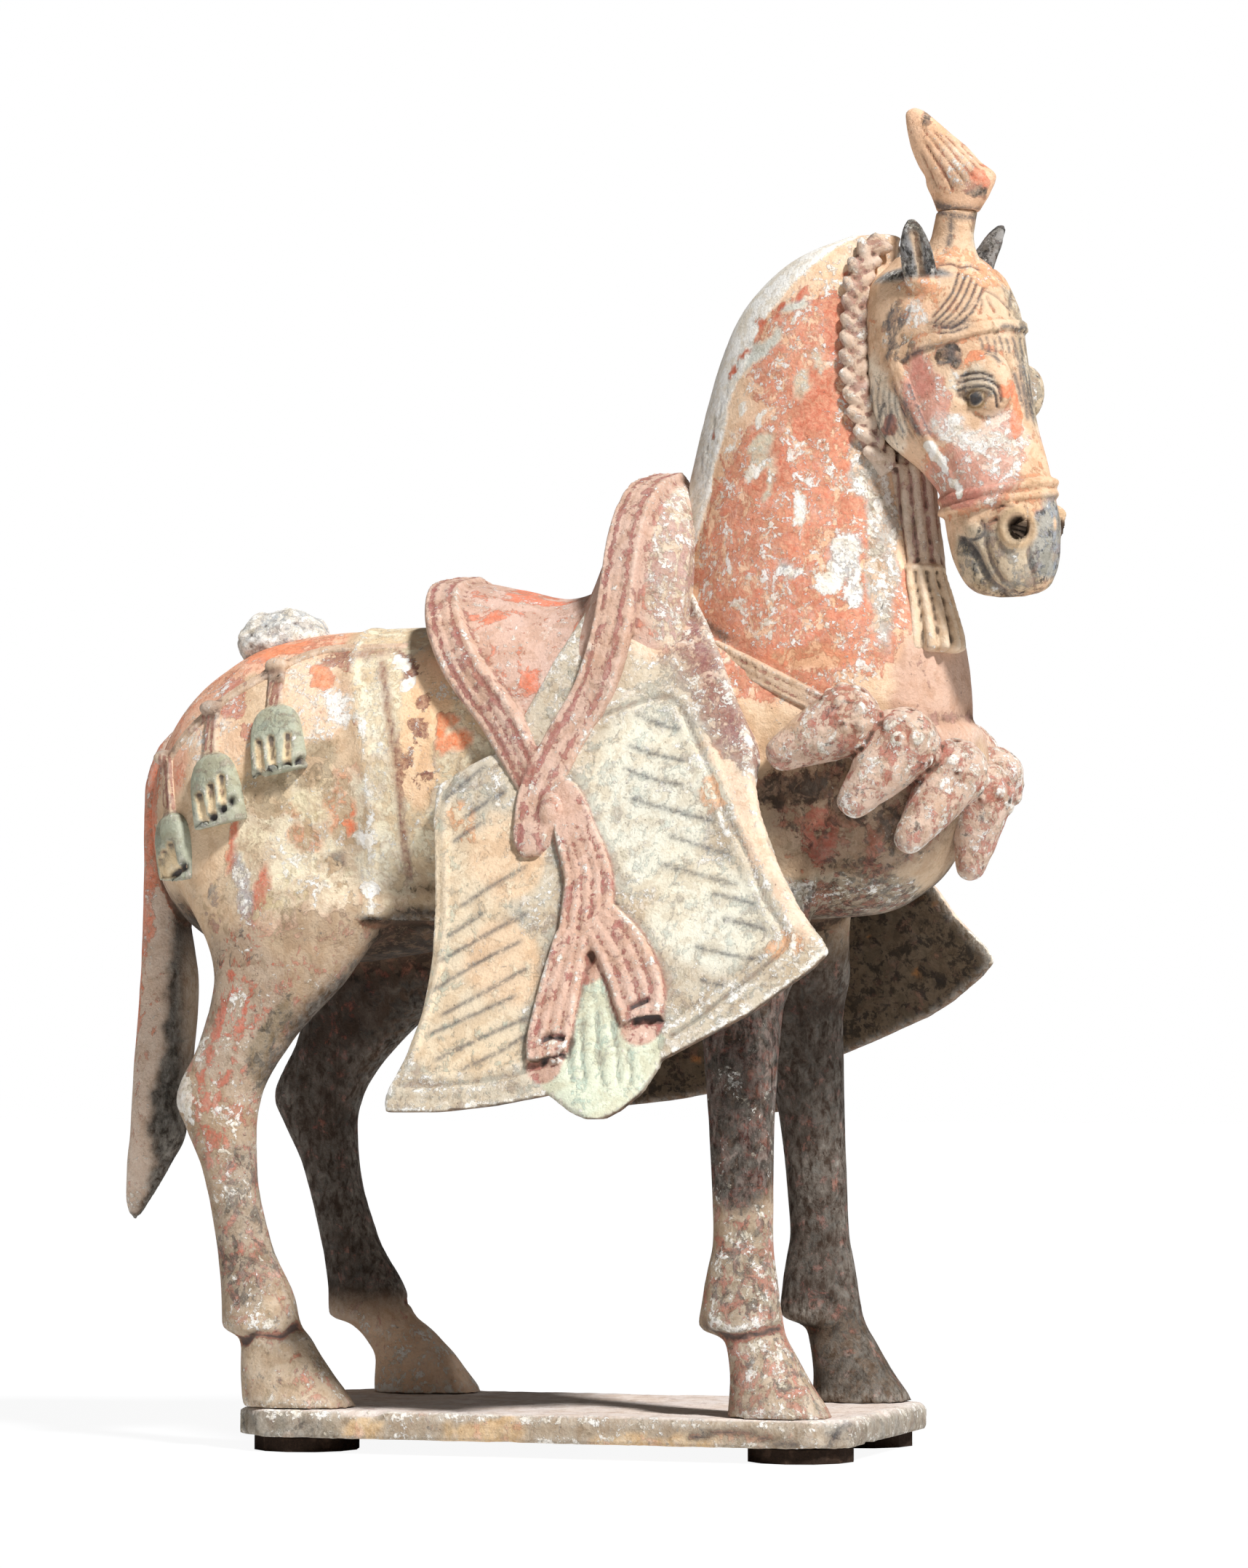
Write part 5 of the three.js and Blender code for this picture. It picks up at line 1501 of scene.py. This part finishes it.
for side, name in ((NEAR, "flap_near"), (FAR, "flap_far")):
    flap = Surface(name, flap_shells(side))
    flap.smooth(2)
    placed = near_side(flap.co)
    if side == FAR:
        placed[:, 0] -= FAR_FLAP_REACH * np.clip((placed[:, 0] - 40) / 73, 0, 1)
    towards = near_facing(flap)
    flat = placed[:, [0, 2]]
    pen = Pen(in_photo(placed), towards)
    proud = -placed[:, 1] - flap_out(placed[:, 0], placed[:, 2])
    outer_face = step_up(towards, 0.2, 0.5) * step_up(proud, -2.5, -0.5)
    sash_mask = np.zeros(len(flap.co))
    for rows in [SASH] + SASH_ENDS:
        table = along(rows, 60)
        away, share = path_distance(flat, table[:, :2], 14)
        width = np.interp(share, spread(0, 1, 60), table[:, 2])
        sash_mask = np.maximum(sash_mask, step_down(away - width / 2, -0.4, 0.6))
    rear, front = linear_rows(TONGUE, placed[:, 2]).T
    inside = np.minimum(placed[:, 0] - rear, front - placed[:, 0])
    tongue_mask = step_up(inside, -0.5, 0.5) * (placed[:, 2] < 158) * (1 - sash_mask)
    cloth = outer_face * (1 - sash_mask) * (1 - tongue_mask)
    for border in (FLAP_BORDER, FLAP_BORDER_REAR):
        path = along(border, 90)
        away, _ = path_distance(flat, path, 8)
        pen.height += cloth * (-0.36 * bump(away, 0, 1.0) + 0.6 * bump(away, 2.6, 1.4))
    pen.draw(FRONT_STROKES + REAR_STROKES, 4.6, 0.2, taper=0.1)
    pen.draw(FRONT_STROKES + REAR_STROKES, 1.9, 0.72, taper=0.1)
    pen.ink *= cloth
    pen.carve(CUFF_SLITS, 2.0, 2.2, 0.7, taper=0.1)
    pen.carve(TONGUE_FOLDS, 2.0, 0.7, 0.12, taper=0.2)
    flap.push(pen.height + 0.3 * rough(flap.co, 20, 3, 6 + side))
    paint = Painter(flap, placed, (201, 189, 168), (172, 170, 156), 0.42, 0.42, 0.24)
    flap_paint = [
        [(226, 222, 204), (200, 204, 190), 0.42, 0.36, None, (900, 1100, 90, 120), (980, 1260, 80, 70)],
        [(222, 204, 176), GREY_GREEN, 0.4, 0.24, 0.2, (630, 1250, 60, 130), (640, 1420, 80, 60)],
        [(226, 198, 166), (238, 222, 192), 0.4, 0.3, None, (700, 1180, 50, 60), (690, 1330, 50, 60)],
        [
            None, (224, 164, 118), 0.5, None, None, (985, 1090, 16, 30), (1080, 1300, 30, 20),
            (640, 1140, 20, 30),
        ],
        [(226, 200, 176), (196, 160, 146), 0.36, 0.36, None, (900, 850, 44, 60)],
    ]
    paint.layers(flap_paint)
    from_band, _ = path_distance(paint.loose, along(MAUVE_BAND, 24), 80)
    mauve = np.exp(-((from_band / 32) ** 2)) * (placed[:, 2] > 190)
    paint.zone(0.5 * mauve, (208, 166, 156))
    paint.zone(mauve ** 0.6, None, (124, 68, 74), 0.56, 0.44, 0.14)
    flap_edge_paint = [
        [(232, 206, 182), ORANGE, 0.2, 0.35, None, (1060, 1180, 16, 130, -24), (1010, 1080, 12, 60, -24)],
    ]
    paint.layers(flap_edge_paint)
    paint.zone(sash_mask * outer_face, (208, 174, 156), (160, 88, 84), 0.4, 0.34, 0.22)
    paint.zone(tongue_mask * outer_face, (216, 220, 196), (190, 208, 190), 0.4, 0.3, 0.1)
    # Painted shade on the flap's inner face, with brown patches in it
    shaded_backside = step_up(-towards, -0.1, 0.4)
    paint.zone(shaded_backside, (92, 78, 62), UMBER, 0.4, 0.1, 0.5)
    paint.zone(shaded_backside * step_up(rough(flap.co, 9, 4, 51), 0.5, 0.7), (150, 104, 62), (170, 110, 60), 0.4)
    # Painted shade on the flap's faces that turn downwards
    edge = step_up(-flap.normals()[:, 2], 0.35, 0.75)
    paint.zone(edge, (124, 100, 80), (70, 62, 54), 0.44, 0.16, 0.5)
    paint.finish(6, 0.36, pen.ink)
    flap.object(painted_clay, "horse")


# The harness

forms = []
for side in SIDES:
    forms += plait_shells(side)
    forms.append(side_strap(neck_width, BREAST, side, fluted(3, 0.45), 60))
    forms.append(side_strap(trunk_width, CRUPPER, side, fluted(2, 0.4), 80))
    for rows in PENDANTS:
        forms += pendant_shells(rows, side)
    for i, (radius, knob_end, tip) in enumerate(TASSELS if side == NEAR else TASSELS[:-1]):
        flip = np.array([1, -side, 1])
        forms += tassel_shells(radius, knob_end * flip, tip * flip, 40 + i)
gear = Surface("harness", [*forms, *throat_shells(), blob(ROSETTE_PLACE, ROSETTE_SIZE, 40, 30)])
gear.smooth(2)
dimple = np.zeros(len(gear.co))
for knob in KNOBS:
    near = np.flatnonzero(np.all(np.abs(gear.co - knob) < 4, axis=1))
    dimple[near] = np.maximum(dimple[near], bump(np.linalg.norm(gear.co[near] - knob, axis=1), 0, 1.25))
gear.push(-0.8 * dimple)
x, y, z = gear.co.T
rosette = step_up(-x, 92, 97) * step_down(np.hypot(x + 116, y), 20, 22) * step_up(z, 262, 266)
knobbly = step_up(x, 100, 106) * step_down(z, 252, 256) * (0.4 + 0.6 * step_up(z, 205, 225))
lumps = rosette * (2.6 * rough(gear.co, 9, 4, 12) - 0.8) + 0.12 * rough(gear.co, 5, 2, 14)
gear.push(lumps + 0.6 * knobbly * rough(gear.co, 5, 3, 15))
trim = Painter(gear, near_side(gear.co), (220, 186, 160), ROSE, 0.3, 0.25, 0.15)
trim_pen = Pen(trim.pixel, near_facing(gear))
SLOTS = [
    [(354, 1021), (358, 1064)], [(371, 1015), (374, 1049)], [(395, 1011), (394, 1046)],
    [(272, 1094), (278, 1127)], [(288, 1081), (290, 1115)], [(303, 1068), (305, 1101)],
    [(219, 1184), (223, 1210)], [(224, 1173), (230, 1207)], [(232, 1163), (240, 1199)],
]
HOLES = [
    [(351, 1067), (356, 1066)], [(371, 1059), (375, 1057)], [(390, 1052), (395, 1051)],
    [(410, 1047), (416, 1045)], [(274, 1137), (278, 1135)], [(288, 1125), (291, 1123)],
    [(302, 1113), (305, 1111)], [(317, 1102), (321, 1100)], [(236, 1204), (240, 1201)],
    [(249, 1195), (253, 1192)],
]
trim_pen.carve(SLOTS, 3.0, 1.3, smooth=False, power=4.0)
slot_fill = trim_pen.height.copy()
# The holes are carved and inked nearly black: painted shade in them
trim_pen.carve(HOLES, 3.0, 3.2, 0.9, smooth=False, power=3.0)
trim_pen.draw([[(x, y - 1), (x + 1, y + 4)] for (x, y), _ in SLOTS], 2.4, 0.6, smooth=False)
gear.push(trim_pen.height)
x, y, z = gear.co.T
chest = step_up(x, 76, 84) * step_down(z, 252, 256)
trim.zone(chest, (208, 182, 164), (170, 86, 72), 0.46, 0.4, 0.4)
strap_part = step_up(x, 40, 50) * step_up(z, 236, 240) * step_down(x, 92, 100)
trim.zone(strap_part * step_down(z, 268, 272), (204, 174, 146), (168, 110, 96), 0.34, 0.24, 0.3)
# The knobs' dimples painted dark: red-brown paint and painted shade in them
trim.zone(0.85 * dimple, (104, 66, 52), UMBER, 0.5, None, 0.6)
gear_paint = [[(200, 168, 150), (168, 88, 74), 0.5, 0.3, 0.3, (1235, 1017, 11, 11)]]
trim.layers(gear_paint)
trim.zone(step_up(-x, 56, 66), (206, 178, 152), (156, 104, 92), 0.36, 0.24, 0.26)
bell = np.zeros(len(gear.co))
for _, (top_x, top_z), (foot_x, foot_z) in PENDANTS:
    run_x, run_z = foot_x - top_x, foot_z - top_z
    share = ((x - top_x) * run_x + (z - top_z) * run_z) / (run_x ** 2 + run_z ** 2)
    across = np.abs((x - top_x) * run_z - (z - top_z) * run_x) / 25
    bell = np.maximum(bell, between(share, -0.08, 0.02, 1.15, 1.2) * step_down(across, 11.5, 12.5))
trim.zone(bell * step_up(-x, 80, 84), (170, 173, 152), (140, 146, 130), 0.42, 0.24, 0.24)
trim.zone(step_up(-slot_fill, 0.3, 0.9), (232, 208, 168), PEACH, 0.2, 0.2, 0.05)
STRAP_TOPS = [(379, 927), (287, 973), (226, 1028)]
STRAP_ENDS = [(372, 968), (282, 1030), (231, 1110)]
TOP_SIZE = (16, 14)
for strap_top in STRAP_TOPS:
    trim.zone(trim.spot(*strap_top, *TOP_SIZE), (168, 144, 126), (120, 104, 92), 0.4, 0.24, 0.4)
for (top_x, top_y), (end_x, end_y) in zip(STRAP_TOPS, STRAP_ENDS):
    painted = [[(top_x + shift, top_y + 12), (end_x + shift, end_y)] for shift in (-7, 0, 7)]
    trim.lines(trim_pen, painted, 0.9, None, (132, 70, 66), 0.8, smooth=False)
trim.zone(rosette, (206, 206, 202), BLUE_GREY, 0.45, 0.5, 0.3)
plaits = step_up(x, 95, 99) * step_up(z, 328, 332)
trim.zone(plaits, (206, 182, 162), (160, 116, 106), 0.44, 0.3, 0.34)
throat = step_up(x, 108, 112) * step_down(z, 342, 346) * step_up(z, 258, 262)
throat = throat * step_down(np.abs(y + 10), 16, 20)
trim.zone(throat * step_up(z, 296, 299), (206, 186, 168), (172, 128, 124), 0.4, 0.2, 0.3)
trim.zone(throat * step_down(z, 296, 299), (220, 194, 164), TAN, 0.3, 0.22, 0.2)
trim.finish(5, 0.2, trim_pen.ink)
gear.object(painted_clay, "horse")


# Plume, plinth and pads

orange_clay = clay_material("orange_clay", 6.0, 8.0)
feather = Surface("plume_clay", [plume_shell()])
feather.smooth(3)
feather_pen = Pen(in_photo(near_side(feather.co)), near_facing(feather))
PLUME_LINES = [
    [(1262, 168), (1284, 196), (1308, 226), (1330, 256)],
    [(1268, 190), (1286, 220), (1304, 250), (1312, 268)],
    [(1276, 172), (1302, 200), (1326, 228), (1346, 252)],
    [(1292, 178), (1316, 202), (1340, 226), (1354, 242)], [(1264, 206), (1278, 236), (1290, 262)],
    [(1318, 196), (1338, 214), (1354, 230)],
]
feather_pen.carve(PLUME_LINES, 1.1, 0.5, 0.16, taper=0.15)
dark_joint = [(1284, 281), (1316, 289), (1350, 291)]
feather_pen.draw([dark_joint], 3.2, 1.0)
feather.push(feather_pen.height + 0.18 * rough(feather.co, 7, 3, 41))
plume_paint = Painter(feather, near_side(feather.co), (236, 194, 160), (222, 146, 112), 0.36, 0.26, 0.22)
feather_paint = [
    [None, (104, 104, 100), 0.56, None, 0.5, (1345, 262, 12, 16), (1268, 154, 8, 16)],
    [(228, 192, 162), (206, 128, 104), 0.4, 0.34, 0.26, (1325, 222, 24, 40, -30)],
    [None, (220, 116, 84), 0.7, None, None, (1355, 246, 8, 16)],
]
plume_paint.layers(feather_paint)
plume_paint.finish(5, 0.2, feather_pen.ink)
feather.object(orange_clay, "plume")

bare_clay = clay_material("bare_clay", 8.0, 12.0)
slab = Surface("plinth_clay", [plinth_shell()])
slab.smooth(1)
rim = np.clip(slab.hollow(5) * -2, 0, 1)
chips = step_up(rough(slab.co, 16, 4, 61), 0.25, 0.5)
slab.push(-1.6 * rim * chips - 0.35 * np.abs(rough(slab.co, 9, 3, 62)))
slab_paint = Painter(slab, near_side(slab.co), (166, 150, 130), (196, 150, 120), 0.38, 0.3, 0.36)
plinth_paint = [
    [
        (206, 176, 136), (218, 160, 120), 0.44, 0.2, None, (660, 1970, 60, 20), (900, 1985, 90, 16),
        (500, 1965, 30, 16),
    ],
    [
        (150, 140, 126), (116, 112, 104), 0.44, 0.24, 0.44, (350, 1960, 50, 30), (1190, 1960, 60, 30),
        (430, 1975, 30, 20),
    ],
]
slab_paint.layers(plinth_paint)
# The slab's top painted paler: painted light against the figure's shadow on it
top = step_up(slab.normals()[:, 2], 0.5, 0.9)
slab_paint.zone(top, (222, 210, 202), (206, 178, 170), 0.34, 0.3, 0.16)
slab_pen = Pen(slab_paint.pixel, near_facing(slab))
SLAB_CRACKS = [
    [(949, 1978), (985, 1971), (1030, 1973), (1066, 1984), (1094, 1988)],
    [(1140, 1990), (1160, 1960), (1170, 1952)],
]
slab_pen.carve(SLAB_CRACKS, 2.4, 0.9, 0.7)
# Painted shadows of the hoofs on the slab's top
HOOF_SHADOWS_ON_SLAB = [[(880, 1930), (940, 1926), (997, 1918)], [(700, 1916), (760, 1924), (830, 1926)]]
slab_pen.draw(HOOF_SHADOWS_ON_SLAB, 9.0, 0.5)
slab.push(slab_pen.height)
slab_paint.finish(6, 0.35, slab_pen.ink)
slab.object(bare_clay, "plinth")

dark_felt, g, shader = node_graph("dark_felt", Roughness=1.0, Specular_IOR_Level=0.1)
place = g.add("ShaderNodeTexCoord").outputs["Object"]
fuzz = g.noise(place, 0.7, 5, 0.7)
color = g.mix(fuzz, (0.006, 0.004, 0.003), (0.05, 0.03, 0.02))
patch = g.clamped(g.noise(place, 6, 4, 0.6, 0.3, 2.0), 5.0, -2.6)
g.put(shader.inputs["Base Color"], g.mix(patch, color, (0.075, 0.045, 0.03)))
relief = g.add("ShaderNodeBump", Height=fuzz, Strength=0.9, Distance=0.0005)
g.put(shader.inputs["Normal"], relief.outputs[0])
for obj in bpy.context.scene.objects:
    if obj.name.startswith("felt_pad"):
        obj.data.materials.clear()
        obj.data.materials.append(dark_felt)


# Camera, light and floor

camera_data = bpy.data.cameras.new("camera")
camera_data.sensor_fit = "AUTO"
camera_data.sensor_width = 36
camera_data.lens = FOCAL_PIXELS * camera_data.sensor_width / FRAME_HEIGHT
camera_data.clip_start, camera_data.clip_end = 0.05, 50
camera = show("camera", camera_data)
camera.location = camera_place * MM
camera.rotation_euler = Vector(view_ahead).to_track_quat("-Z", "Y").to_euler()
bpy.context.scene.camera = camera

# A high soft key from the viewer's right, and a white room that fills the shadows
sun_data = bpy.data.lights.new("key", "SUN")
sun_data.energy, sun_data.angle, sun_data.color = 4.9, math.radians(7), (0.98, 0.995, 1.02)
sun = show("key", sun_data)
key_way = 0.5 * view_right - 0.74 * view_ahead + 1.06 * np.array([0, 0, 1])
sun.rotation_euler = Vector(-key_way).to_track_quat("-Z", "Y").to_euler()


def seen_directly(graph, indirect, direct, share, output):
    """One shader for what the camera sees itself, and another for the light that it gives."""
    blend = graph.add("ShaderNodeMixShader")
    ray = graph.add("ShaderNodeLightPath").outputs["Is Camera Ray"]
    graph.put(blend.inputs[0], ray if share == 1 else graph.times(ray, share))
    graph.put(blend.inputs[1], indirect.outputs[0])
    graph.put(blend.inputs[2], direct.outputs[0])
    graph.put(graph.tree.nodes[output].inputs["Surface"], blend.outputs[0])


world = bpy.data.worlds.new("studio")
world.use_nodes = True
g = Graph(world.node_tree)
room = world.node_tree.nodes["Background"]
room.inputs["Color"].default_value = (1, 1, 1, 1)
room.inputs["Strength"].default_value = 0.17
backdrop = g.add("ShaderNodeBackground", Color=(1, 1, 1, 1), Strength=1.0)
seen_directly(g, room, backdrop, 1, "World Output")
bpy.context.scene.world = world
bpy.context.scene.view_settings.view_transform = "Standard"

floor_material, g, shader = node_graph("floor", Base_Color=(0.94, 0.94, 0.94, 1), Roughness=0.3)
glow = g.add("ShaderNodeEmission", Color=(1, 1, 1, 1), Strength=1.03)
seen_directly(g, shader, glow, 0.9, "Material Output")
floor_mesh = bpy.data.meshes.new("floor")
FLOOR_REACH = 8.0
corners = [(i * FLOOR_REACH, j * FLOOR_REACH, 0) for i, j in ((-1, -1), (1, -1), (1, 1), (-1, 1))]
floor_mesh.from_pydata(corners, [], [(0, 1, 2, 3)])
floor_mesh.materials.append(floor_material)
floor = show("floor", floor_mesh)
